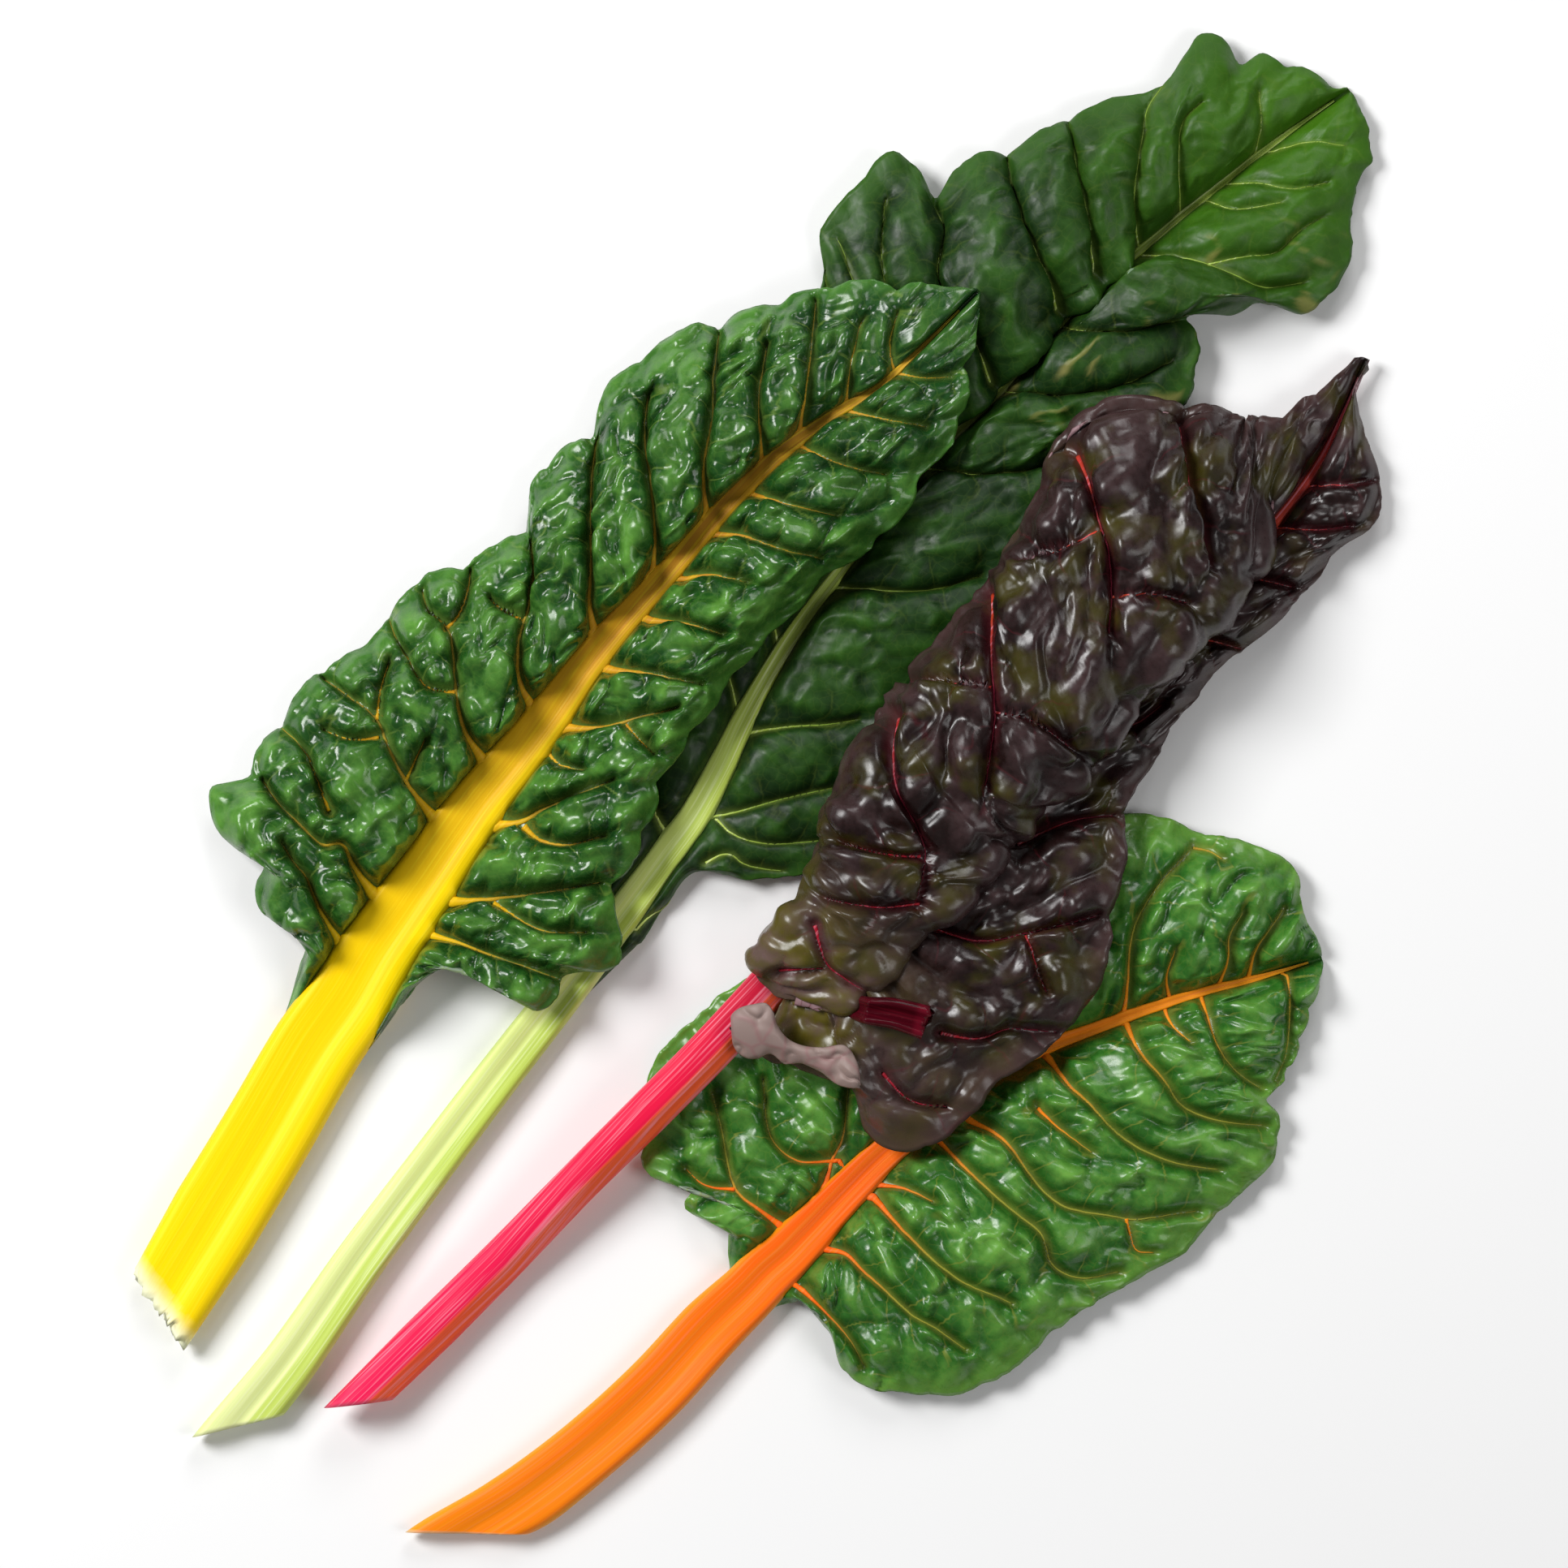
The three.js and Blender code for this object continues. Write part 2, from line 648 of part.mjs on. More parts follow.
  build() {
    const { grid, middle } = this.grid();
    const { rows } = this.spec;
    const wide = grid[0].length;
    const open = (this.last - 1) * rows + 1;
    const blade = sheet(grid, (i, j) => j !== middle || i >= open);

    const rings = [];
    for (let u = 0; u < this.first; u += 0.5) rings.push(this.ring(u));
    for (let u = this.first; u <= this.first + this.last - 1; u++) rings.push(this.ring(u));
    let stalk = loft(rings);
    for (let k = 1; k <= this.last - 3; k++) {
      const row = k * rows;
      const taper = 1.2 + 0.22 * along(this.depths, this.first + k);
      const rightward = COLUMNS.slice(1).map((_, c) => middle + 1 + c);
      const leftward = rightward.map((_, c) => middle - c);
      if (!this.roll) {
        stalk = stalk.add(this.vein(grid, blade.normals, row, leftward, taper));
      }
      stalk = stalk.add(this.vein(grid, blade.normals, row, rightward, taper));
    }
    return { blade: blade.body, stalk };
  }
}

// ---------------------------------------------------------------- the bunch

function toMesh(name, body, colour) {
  const { vertProperties, triVerts } = body.getMesh();
  const geometry = new THREE.BufferGeometry();
  geometry.setAttribute("position", new THREE.BufferAttribute(vertProperties, 3));
  geometry.setIndex(new THREE.BufferAttribute(triVerts, 1));
  geometry.computeVertexNormals();
  const finish = new THREE.MeshStandardMaterial({ color: colour, roughness: 0.4 });
  const mesh = new THREE.Mesh(geometry, finish);
  mesh.name = name;
  return mesh;
}

function bunch() {
  const group = new THREE.Group();
  group.name = "swiss_chard_bunch";
  const lower = [];
  let bed = null;
  const order = Object.entries(LEAVES).sort(([, a], [, b]) => !!a.upper - !!b.upper);
  for (const [name, spec] of order) {
    if (spec.upper && !bed) bed = new Bed(lower);
    const { stalk, blade } = new Leaf(spec, spec.upper ? bed : null).build();
    if (!spec.upper) lower.push(stalk, blade);
    group.add(toMesh(`${name}_stalk`, stalk, spec.stalk));
    group.add(toMesh(`${name}_blade`, blade, spec.blade));
  }
  return group;
}

export default bunch();
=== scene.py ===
"""Rainbow chard, dressed: four cut leaves lying flat and overlapping on a pale floor.

Each leaf is one ``ChardLeaf``: a ribbed stalk that runs on as the midrib, side veins that
branch from it, and a waxy blade that is pleated between the side veins and puckered all over.
Two leaves lie on the floor and two lie across them. Sizes are in millimetres until a mesh is
made, and +Y runs from the cut stalks to the leaf tips.
"""

import logging
import math
from dataclasses import dataclass, field, replace
from enum import Enum
from typing import Any, Optional, Sequence

import bmesh
import bpy
import numpy as np
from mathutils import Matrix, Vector
from mathutils.kdtree import KDTree


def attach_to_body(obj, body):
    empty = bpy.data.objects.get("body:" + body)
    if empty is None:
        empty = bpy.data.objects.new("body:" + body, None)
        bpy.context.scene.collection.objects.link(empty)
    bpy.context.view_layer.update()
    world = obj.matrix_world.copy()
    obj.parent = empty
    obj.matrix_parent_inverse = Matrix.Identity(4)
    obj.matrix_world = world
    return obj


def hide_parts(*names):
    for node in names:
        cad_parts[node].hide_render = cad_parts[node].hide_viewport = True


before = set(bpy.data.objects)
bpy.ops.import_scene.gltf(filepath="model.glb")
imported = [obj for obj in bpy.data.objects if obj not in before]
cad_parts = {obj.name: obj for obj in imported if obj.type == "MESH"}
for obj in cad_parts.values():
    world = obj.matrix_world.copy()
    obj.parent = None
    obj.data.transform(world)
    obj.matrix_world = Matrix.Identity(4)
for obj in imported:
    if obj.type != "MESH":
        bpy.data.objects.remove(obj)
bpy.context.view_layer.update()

LOG = logging.getLogger("rainbow_chard")

MM = 0.001
MIDDLE = (0.5, 4.5)  # added to every row, as in the part: puts the origin under the middle
BLADE_THICKNESS = 0.45
FLOOR_GAP = 0.1  # least height of anything thin over the floor
FLANK_SINK = 0.5  # how far a blade's inner edge is sunk into the midrib's flank
MARGIN_Z = 0.9  # height of a blade's margin over what it lies on
BED_CELL = 2.0
BED_SIZE = (320.0, 500.0)
BED_SLOPE = 0.4  # steepest way a blade drapes off what is under it
BED_CLEAR = 0.9
BED_REACH = 32.0  # how far a top is spread downhill
STALK_SLOPE = 0.13
LEAST = 1e-9  # keeps a length that is divided by from being zero

Array = np.ndarray
Piece = bpy.types.Object
Skin = bpy.types.Material
Tree = bpy.types.NodeTree
Socket = bpy.types.NodeSocket
Stops = Sequence[tuple[float, Any]]


class Side(Enum):
    """The two halves of a leaf, seen from above with the tip ahead."""

    LEFT = -1
    RIGHT = 1


class CutEnd(Enum):
    """How the lower end of a stalk was parted from the plant."""

    KNIFE = "knife"
    TORN = "torn"


# ---------------- numbers and fields


def smooth(t: Array) -> Array:
    """Eases 0 to 1 with level ends."""
    c = np.clip(t, 0.0, 1.0)
    return c * c * (3.0 - 2.0 * c)


def lerp(a: Any, b: Any, t: Any) -> Any:
    """The value a share t of the way from a to b."""
    return a + (b - a) * t


def along(values: Sequence[float], u: Array) -> Array:
    """The value of a list of numbers at fractional indices."""
    return np.interp(u, np.arange(len(values)), values)


class Course:
    """A smooth plane curve through points, read by fractional point number."""

    def __init__(self, points: Sequence[Sequence[float]]) -> None:
        """Fits a centripetal Catmull-Rom curve.

        Args:
            points: the points, of which the first two numbers are x and y.
        """
        p = np.array([[q[0] + MIDDLE[0], q[1] + MIDDLE[1]] for q in points], dtype=float)
        ends = np.vstack([2 * p[0] - p[1], p, 2 * p[-1] - p[-2]])
        gaps = np.maximum(np.linalg.norm(np.diff(ends, axis=0), axis=1) ** 0.5, 1e-6)[:, None]
        before, here, after, beyond = ends[:-3], ends[1:-2], ends[2:-1], ends[3:]
        g0, g1, g2 = gaps[:-2], gaps[1:-1], gaps[2:]
        leave = (here - before) / g0 - (after - before) / (g0 + g1) + (after - here) / g1
        arrive = (after - here) / g1 - (beyond - here) / (g1 + g2) + (beyond - after) / g2
        m0, m1 = leave * g1, arrive * g1
        self.terms = (here, m0, -3 * here + 3 * after - 2 * m0 - m1, 2 * here - 2 * after + m0 + m1)
        self.last = len(points) - 2

    def _split(self, u: Array) -> tuple[Array, Array]:
        """Segment numbers and shares along them, with a last axis for x and y."""
        k = np.clip(np.floor(u), 0, self.last).astype(int)
        return k, (np.asarray(u) - k)[..., None]

    def at(self, u: Array) -> Array:
        """Points of the curve at fractional point numbers.

        Args:
            u: fractional point numbers.

        Returns:
            The points, with a last axis for x and y.
        """
        k, t = self._split(u)
        a, b, c, d = (term[k] for term in self.terms)
        return a + t * (b + t * (c + t * d))

    def heading(self, u: Array) -> Array:
        """Unit directions of the curve at fractional point numbers.

        Args:
            u: fractional point numbers.

        Returns:
            The directions, with a last axis for x and y.
        """
        k, t = self._split(u)
        _, b, c, d = (term[k] for term in self.terms)
        slope = b + t * (2 * c + 3 * t * d)
        return slope / np.linalg.norm(slope, axis=-1, keepdims=True)


class Margin:
    """A blade's edge: a curve through the outer ends of its side veins and its lobes' points."""

    def __init__(self, ends: Sequence[Sequence[float]], lobes: Sequence[Sequence[float]]) -> None:
        """Fits the curve.

        Args:
            ends: (x, y) where each rib row meets the margin, in the order of the rows.
            lobes: (row, x, y) of further points between them.
        """
        knots = sorted([(float(row), *end) for row, end in enumerate(ends)] + [tuple(lobe) for lobe in lobes])
        self.rows = [knot[0] for knot in knots]
        self.path = Course([knot[1:] for knot in knots])

    def at(self, s: Array) -> Array:
        """Places on the margin at rib rows s."""
        return self.path.at(np.interp(s, self.rows, np.arange(len(self.rows))))


class Grain:
    """Seeded random fields over a plane: a soft noise and a pattern of cells."""

    SIZE = 64

    def __init__(self, seed: int) -> None:
        """Draws the tables that both fields read.

        Args:
            seed: seed of the random draws.
        """
        rng = np.random.default_rng(seed)
        self.table = rng.random((self.SIZE, self.SIZE)) * 2.0 - 1.0
        self.jitter = rng.random((self.SIZE, self.SIZE, 2)) * 0.8 + 0.1

    def _read(self, i: Array, j: Array) -> Array:
        """Table values at whole numbers, repeating."""
        return self.table[i % self.SIZE, j % self.SIZE]

    def soft(self, x: Array, y: Array) -> Array:
        """Smooth noise from -1 to 1 with features about one unit wide.

        Args:
            x: first coordinates.
            y: second coordinates.

        Returns:
            The noise at each place.
        """
        x, y = np.broadcast_arrays(x, y)
        i, j = np.floor(x).astype(int), np.floor(y).astype(int)
        u, v = smooth(x - i), smooth(y - j)
        low = lerp(self._read(i, j), self._read(i + 1, j), u)
        high = lerp(self._read(i, j + 1), self._read(i + 1, j + 1), u)
        return lerp(low, high, v)

    def ridges(self, x: Array, y: Array) -> Array:
        """A net of narrow ridges about one unit apart, 1 on a ridge and 0 in the basins."""
        level = 0.7 * self.soft(x, y) + 0.3 * self.soft(2.1 * x + 7.3, 2.1 * y + 1.9)
        return smooth(1.0 - np.abs(level) / 0.42)

    def folds(self, x: Array, y: Array) -> Array:
        """Rounded swellings parted by sharp creases, from 0 in the creases to 1 on top."""
        level = 0.65 * self.soft(x, y) + 0.35 * self.soft(2.3 * x + 4.1, 2.3 * y + 8.7)
        return 1.0 - (1.0 - np.clip(np.abs(level) * 2.2, 0.0, 1.0)) ** 2

    def pillows(self, x: Array, y: Array) -> Array:
        """Rounded cushions about one unit wide, from 0 in the creases to 1 on top.

        Args:
            x: first coordinates.
            y: second coordinates.

        Returns:
            The height at each place.
        """
        i, j = np.floor(x).astype(int), np.floor(y).astype(int)
        near = np.full(np.shape(x), 9.0)
        second = near.copy()
        for di in (-1, 0, 1):
            for dj in (-1, 0, 1):
                spot = self.jitter[(i + di) % self.SIZE, (j + dj) % self.SIZE]
                away = np.hypot(i + di + spot[..., 0] - x, j + dj + spot[..., 1] - y)
                second = np.minimum(second, np.maximum(near, away))
                near = np.minimum(near, away)
        return 1.0 - (1.0 - np.clip((second - near) / 0.8, 0.0, 1.0)) ** 2


class VeinField:
    """Where each place of a half blade lies among that half's side veins."""

    STEP = 0.8  # mm between the points of a vein
    FINE = 0.3  # mm; a vein of a smaller radius lies in a shallower crease
    SHALLOW = 4.0  # mm further off that a vein counts for each mm that it is finer
    FAR = 99.0

    def __init__(self, paths: Sequence[Array], radii: Sequence[Array], places: Array) -> None:
        """Measures every place against every vein.

        Args:
            paths: each vein's points, STEP apart, from its root outwards.
            radii: each vein's radius at its points.
            places: plan positions, shaped (rows, columns, 2).
        """
        flat = places.reshape(-1, 2)
        every = np.arange(len(flat))
        away = np.full(len(flat), self.FAR)
        other, along_vein, number, flank = away.copy(), away * 0, away * 0, away * 0
        toward = np.zeros_like(flat)
        for count, (path, radius) in enumerate(zip(paths, radii)):
            gap = path[None] - flat[:, None]
            apart = np.hypot(gap[..., 0], gap[..., 1])
            pick = apart.argmin(axis=1)
            ahead = np.gradient(path, axis=0)[pick]
            gap, apart = gap[every, pick], apart[every, pick]
            finer = max(0.0, self.FINE - radius[len(radius) // 3])
            reach = np.maximum(apart - radius[pick], 0.0) + self.SHALLOW * finer
            closer = reach < away
            other = np.where(closer, away, np.minimum(other, reach))
            away = np.where(closer, reach, away)
            along_vein = np.where(closer, pick * self.STEP, along_vein)
            number = np.where(closer, count, number)
            flank = np.where(closer, np.sign(ahead[:, 0] * gap[:, 1] - ahead[:, 1] * gap[:, 0]), flank)
            unit = gap / np.maximum(apart, 0.3)[:, None]
            toward = np.where(closer[:, None], unit, toward)
        shape = places.shape[:-1]
        self.away, self.other = away.reshape(shape), other.reshape(shape)
        self.along_vein, self.number = along_vein.reshape(shape), number.reshape(shape)
        self.flank = flank.reshape(shape)
        self.toward = toward.reshape(*shape, 2)


class Nearest:
    """Finds the nearest of many plane points."""

    def __init__(self, places: Array) -> None:
        """Sorts the points.

        Args:
            places: the points, shaped (any, 2).
        """
        self.tree = KDTree(len(places))
        for k, (x, y) in enumerate(places):
            self.tree.insert((x, y, 0.0), k)
        self.tree.balance()

    def blend(self, places: Array, values: Array, count: int = 4) -> Array:
        """Values of the nearest points, weighted by nearness.

        Args:
            places: where values are wanted, shaped (any, 2).
            values: one row for each sorted point.
            count: how many neighbours are blended.

        Returns:
            One row of values for each place.
        """
        out = []
        for x, y in places:
            found = self.tree.find_n((x, y, 0.0), count)
            weight = np.array([1.0 / (away + 0.05) for _, _, away in found])
            picked = values[[k for _, k, _ in found]]
            out.append((picked * weight[:, None]).sum(axis=0) / weight.sum())
        return np.array(out)


# ---------------- mesh making


def grid_object(
    name: str, points: Array, closed: bool = False, drop: Optional[Array] = None
) -> Piece:
    """Makes an object from a grid of points.

    Args:
        name: the piece's name.
        points: positions in millimetres, shaped (rows, columns, 3).
        closed: joins the last column to the first and fills both ends, as for a tube.
        drop: cells that are left out, shaped (rows - 1, columns - 1).

    Returns:
        The new object, linked to the scene, with its place in its mesh.
    """
    rows, columns = points.shape[:2]
    bm = bmesh.new()
    bmesh.ops.create_grid(bm, x_segments=columns - 1, y_segments=rows - 1, size=1.0)
    flat = points.reshape(-1, 3) * MM
    for vert, place in zip(bm.verts, flat):
        vert.co = place
    if drop is not None:
        bm.faces.ensure_lookup_table()
        gone = [bm.faces[k] for k in np.flatnonzero(drop.reshape(-1))]
        bmesh.ops.delete(bm, geom=gone, context="FACES")
    if closed:
        bmesh.ops.remove_doubles(bm, verts=bm.verts, dist=1e-7)
        bmesh.ops.holes_fill(bm, edges=[e for e in bm.edges if e.is_boundary], sides=0)
        bmesh.ops.recalc_face_normals(bm, faces=bm.faces)
    mesh = bpy.data.meshes.new(name)
    bm.to_mesh(mesh)
    bm.free()
    mesh.shade_smooth()
    made = bpy.data.objects.new(name, mesh)
    bpy.context.scene.collection.objects.link(made)
    return made


def joined(name: str, pieces: Sequence[Piece]) -> Piece:
    """Joins objects into the first of them and renames it.

    Args:
        name: the piece's name.
        pieces: the objects.

    Returns:
        The joined object.
    """
    bpy.ops.object.select_all(action="DESELECT")
    for piece in pieces:
        piece.select_set(True)
    bpy.context.view_layer.objects.active = pieces[0]
    bpy.ops.object.join()
    pieces[0].name = name
    pieces[0].data.name = name
    return pieces[0]


def put_values(made: Piece, **fields: Array) -> None:
    """Stores numbers at an object's vertices, for its finish to read.

    Args:
        made: the object.
        fields: for each name, one number for each vertex.
    """
    for name, values in fields.items():
        layer = made.data.attributes.new(name, "FLOAT", "POINT")
        layer.data.foreach_set("value", np.asarray(values, dtype=np.float32).reshape(-1))


def thicken(piece: Piece) -> None:
    """Gives a blade's skin its thickness, with the piece's second finish underneath.

    Args:
        piece: an open skin with two finishes.
    """
    solid = piece.modifiers.new("thickness", "SOLIDIFY")
    solid.thickness = BLADE_THICKNESS * MM
    solid.offset = -1.0
    solid.material_offset = 1


def register(piece: Piece, node: str) -> None:
    """Attaches a piece to the root body and hides the part's node that it stands for.

    Args:
        piece: the piece.
        node: the name of the part's node that it stands for.
    """
    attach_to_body(piece, "root")
    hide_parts(node)
    LOG.info("%s stands for %s", piece.name, node)


def normals_of(points: Array) -> Array:
    """Unit normals of a grid of points, facing up where the grid runs right and ahead.

    Args:
        points: positions, shaped (rows, columns, 3).

    Returns:
        The normals, shaped like the points.
    """
    ahead = np.gradient(points, axis=0)
    across = np.gradient(points, axis=1)
    n = np.cross(across, ahead)
    return n / np.maximum(np.linalg.norm(n, axis=-1, keepdims=True), LEAST)


def softened(values: Array, passes: int) -> Array:
    """Blurs a grid of vectors over its neighbours along both axes.

    Args:
        values: the grid.
        passes: how many times it is blurred.

    Returns:
        The blurred grid.
    """
    for _ in range(passes):
        for axis in (0, 1):
            edge = np.concatenate(
                [np.take(values, [0], axis), values, np.take(values, [-1], axis)], axis
            )
            n = values.shape[axis]
            sides = np.take(edge, range(n), axis) + np.take(edge, range(2, n + 2), axis)
            values = values * 0.5 + sides * 0.25
    return values


# ---------------- what lies underneath


class Bed:
    """A height map of the lower leaves, sloping down around them as a limp blade drapes."""

    def __init__(self, clouds: Sequence[Array]) -> None:
        """Records the tops of the lower leaves.

        Args:
            clouds: points on the lower leaves in millimetres, each shaped (any, 3).
        """
        self.shape = (int(BED_SIZE[0] / BED_CELL), int(BED_SIZE[1] / BED_CELL))
        tops = np.zeros(self.shape)
        for cloud in clouds:
            i = np.round((cloud[:, 0] + BED_SIZE[0] / 2) / BED_CELL).astype(int)
            j = np.round((cloud[:, 1] + BED_SIZE[1] / 2) / BED_CELL).astype(int)
            np.maximum.at(tops, (i, j), cloud[:, 2])
        self.high = self._drape(tops)

    def _drape(self, tops: Array) -> Array:
        """Spreads each top downhill at the steepest slope and softens the result.

        Args:
            tops: the highest point in each cell.

        Returns:
            The height of each cell.
        """
        reach = int(BED_REACH / BED_CELL)
        padded = np.pad(tops, reach)
        high = np.zeros(self.shape)
        for di in range(-reach, reach + 1):
            for dj in range(-reach, reach + 1):
                fall = BED_SLOPE * BED_CELL * math.hypot(di, dj)
                rows = slice(reach + di, reach + di + self.shape[0])
                columns = slice(reach + dj, reach + dj + self.shape[1])
                high = np.maximum(high, padded[rows, columns] - fall)
        high = np.where(high > 0, high + BED_CLEAR, 0.0)
        return np.maximum(high, softened(high, 3))

    def at(self, x: Array, y: Array) -> Array:
        """Heights at places given in millimetres.

        Args:
            x: places across.
            y: places along.

        Returns:
            The heights.
        """
        u = np.clip((x + BED_SIZE[0] / 2) / BED_CELL, 0, self.shape[0] - 1.001)
        v = np.clip((y + BED_SIZE[1] / 2) / BED_CELL, 0, self.shape[1] - 1.001)
        i, j = np.floor(u).astype(int), np.floor(v).astype(int)
        low = lerp(self.high[i, j], self.high[i + 1, j], u - i)
        high = lerp(self.high[i, j + 1], self.high[i + 1, j + 1], u - i)
        return lerp(low, high, v - j)


# ---------------- finishes


def linear(code: str) -> tuple[float, float, float, float]:
    """A linear colour from an sRGB hex code such as "3c7a34".

    Args:
        code: six hex digits.

    Returns:
        Linear red, green, blue and alpha.
    """
    parts = [int(code[k : k + 2], 16) / 255.0 for k in (0, 2, 4)]
    red, green, blue = (p / 12.92 if p <= 0.04045 else ((p + 0.055) / 1.055) ** 2.4 for p in parts)
    return (red, green, blue, 1.0)


def blank(name: str) -> tuple[Skin, Tree]:
    """A new material and its empty node tree.

    Args:
        name: the material's name.

    Returns:
        The material and its tree.
    """
    material = bpy.data.materials.new(name)
    material.use_nodes = True
    material.node_tree.nodes.clear()
    return material, material.node_tree


def add(tree: Tree, kind: str, links: dict, out: Any = 0, stops: Stops = (), **settings: Any) -> Any:
    """Adds a node to a material's tree.

    Args:
        tree: the node tree.
        kind: the node's type name without "ShaderNode".
        links: socket name or number to a fixed value, or to an output socket that feeds it.
        out: name or number of the wanted output, or None for a node that has no output.
        stops: a colour ramp's (place, hex code or grey level), from low to high.
        settings: the node's own properties.

    Returns:
        The wanted output socket, or None.
    """
    node = tree.nodes.new("ShaderNode" + kind)
    for key, value in settings.items():
        setattr(node, key, value)
    for key, value in links.items():
        if isinstance(value, bpy.types.NodeSocket):
            tree.links.new(value, node.inputs[key])
        else:
            node.inputs[key].default_value = value
    elements = node.color_ramp.elements if stops else ()
    while len(elements) < len(stops):
        elements.new(0.5)
    for element, (place, tone) in zip(elements, stops):
        element.position = place
        element.color = linear(tone) if isinstance(tone, str) else (tone, tone, tone, 1.0)
    return None if out is None else node.outputs[out]


@dataclass(frozen=True)
class BladeFinish:
    """Living chard blade: a waxy cuticle over green tissue, so it is dark with a wet gloss."""

    name: str
    # valley is painted shade for the creases and crest is painted light for the crests; body is the blade's
    # own green
    valley_shade: str
    body: str
    crest: str
    margin: str
    vein: str
    blotch: str
    underside: str
    tip: str
    dry: str = "a89c58"
    # the first base tone, for the hollows, is darker as painted shade, like the valley tone
    base_tones: tuple[str, ...] = ()  # hollows, slopes and crests near the stalk
    ior: float = 1.45
    mesh_share: float = 0.1  # how plainly the finest net shows on the upper skin
    net_share: float = 0.5  # how plainly it shows on the underside
    tip_share: float = 0.0
    blotch_share: float = 0.3
    line_share: float = 0.5  # how plainly fine veins show between the cushions
    vein_share: float = 0.45  # how plainly the skin beside a side vein takes its tone
    dry_share: float = 0.4  # how plainly the worn ridges show
    roughness: float = 0.3
    underside_roughness: float = 0.55
    cloud_mm: float = 14.0  # spacing of the blotches
    mottle_mm: float = 2.2  # spacing of the uneven tone
    grain_mm: float = 2.6  # spacing of the skin's grain
    mesh_mm: float = 3.2  # spacing of the finest net of veins
    dome_mm: float = 5.0  # spacing of the smallest puckers
    bump_mm: float = 0.3  # height of the smallest puckers
    net_mm: float = 0.15  # how far the net stands out underneath

    def build(self) -> tuple[Skin, Skin]:
        """Makes the upper and the lower skin."""
        return self._upper(), self._lower()

    def _cells(self, tree: Tree, spacing: float, feature: str) -> Socket:
        """A distance within cells whose borders are bent by noise.

        Args:
            tree: the node tree.
            spacing: size of a cell in millimetres.
            feature: which distance the Voronoi texture gives.

        Returns:
            The distance, 0 in the middle of a cell or on its border.
        """
        place = add(tree, "TexCoord", {}, "Object")
        links = {"Vector": place, "Scale": 1 / (2 * spacing * MM), "Detail": 2.0}
        bend = add(tree, "TexNoise", links, "Color")
        warp = (0.8 * spacing * MM,) * 3
        shift = add(tree, "VectorMath", {0: bend, 1: warp}, operation="MULTIPLY")
        moved = add(tree, "VectorMath", {0: place, 1: shift}, operation="ADD")
        links = {"Vector": moved, "Scale": 1 / (spacing * MM)}
        return add(tree, "TexVoronoi", links, "Distance", feature=feature)

    def _upper(self) -> Skin:
        """The waxy upper skin: painted shade darkens the creases and painted light lightens the crests.

        Returns:
            The material. Its layers go on in order, each hiding part of those before it.
        """
        material, tree = blank(f"waxy leaf cuticle, {self.name}")
        place = add(tree, "TexCoord", {}, "Object")
        lift, edge, near, count, flank, reach, worn = (
            add(tree, "Attribute", {}, "Fac", attribute_name=name)
            for name in ("lift", "edge", "vein", "count", "flank", "reach", "worn")
        )
        clouds, mottle = (
            add(tree, "TexNoise", {"Vector": place, "Scale": 1 / (spacing * MM), "Detail": detail})
            for spacing, detail in ((self.cloud_mm, 3.0), (self.mottle_mm, 4.0))
        )
        uneven = add(tree, "Math", {0: mottle, 1: 0.4, 2: -0.2}, operation="MULTIPLY_ADD")
        level = add(tree, "Math", {0: lift, 1: uneven}, operation="ADD")
        # lift picks the tone: painted shade in the creases, the blade's own green on the slopes, painted
        # light on the crests
        stops = ((0.05, self.valley_shade), (0.5, self.body), (1.0, self.crest))
        tone = add(tree, "ValToRGB", {0: level}, stops=stops)
        layers = []
        if self.base_tones:
            stops = tuple(zip((0.1, 0.4, 0.8), self.base_tones))
            inner = add(tree, "ValToRGB", {0: level}, stops=stops)
            low = add(tree, "ValToRGB", {0: reach}, stops=((0.12, 0.85), (0.38, 0.0)))
            layers.append((low, inner))
        high = add(tree, "ValToRGB", {0: reach}, stops=((0.65, 0.0), (0.92, 1.0)))
        ripe = add(tree, "Math", {0: high, 1: self.tip_share}, operation="MULTIPLY")
        layers.append((ripe, linear(self.tip)))
        patch = add(tree, "ValToRGB", {0: clouds}, stops=((0.5, 0.0), (0.68, 1.0)))
        spots = add(tree, "Math", {0: patch, 1: self.blotch_share}, operation="MULTIPLY")
        layers.append((spots, linear(self.blotch)))
        rim = add(tree, "ValToRGB", {0: edge}, stops=((0.85, 0.0), (0.995, 0.6)))
        layers.append((rim, linear(self.margin)))
        net = self._cells(tree, self.mesh_mm, "DISTANCE_TO_EDGE")
        lines = add(tree, "ValToRGB", {0: net}, stops=((0.0, self.mesh_share), (0.06, 0.0)))
        layers.append((lines, linear(self.vein)))
        turn = add(tree, "Math", {0: count, 1: math.pi}, operation="MULTIPLY")
        turn = add(tree, "Math", {0: turn}, operation="SINE")
        turn = add(tree, "Math", {0: turn}, operation="ABSOLUTE")
        crease = add(tree, "ValToRGB", {0: turn}, stops=((0.0, self.line_share), (0.14, 0.0)))
        crease = add(tree, "Math", {0: crease, 1: flank}, operation="MULTIPLY")
        layers.append((crease, linear(self.vein)))
        beside = add(tree, "Math", {0: near, 1: self.vein_share}, operation="MULTIPLY")
        layers.append((beside, linear(self.vein)))
        dried = add(tree, "Math", {0: worn, 1: self.dry_share}, operation="MULTIPLY")
        layers.append((dried, linear(self.dry)))
        for share, colour in layers:
            tone = add(tree, "Mix", {0: share, 6: tone, 7: colour}, 2, data_type="RGBA")
        stops = ((0.3, self.roughness - 0.06), (0.7, self.roughness + 0.1))
        gloss = add(tree, "ValToRGB", {0: mottle}, stops=stops)
        links = {"Vector": place, "Scale": 1 / (self.grain_mm * MM), "Detail": 2.0}
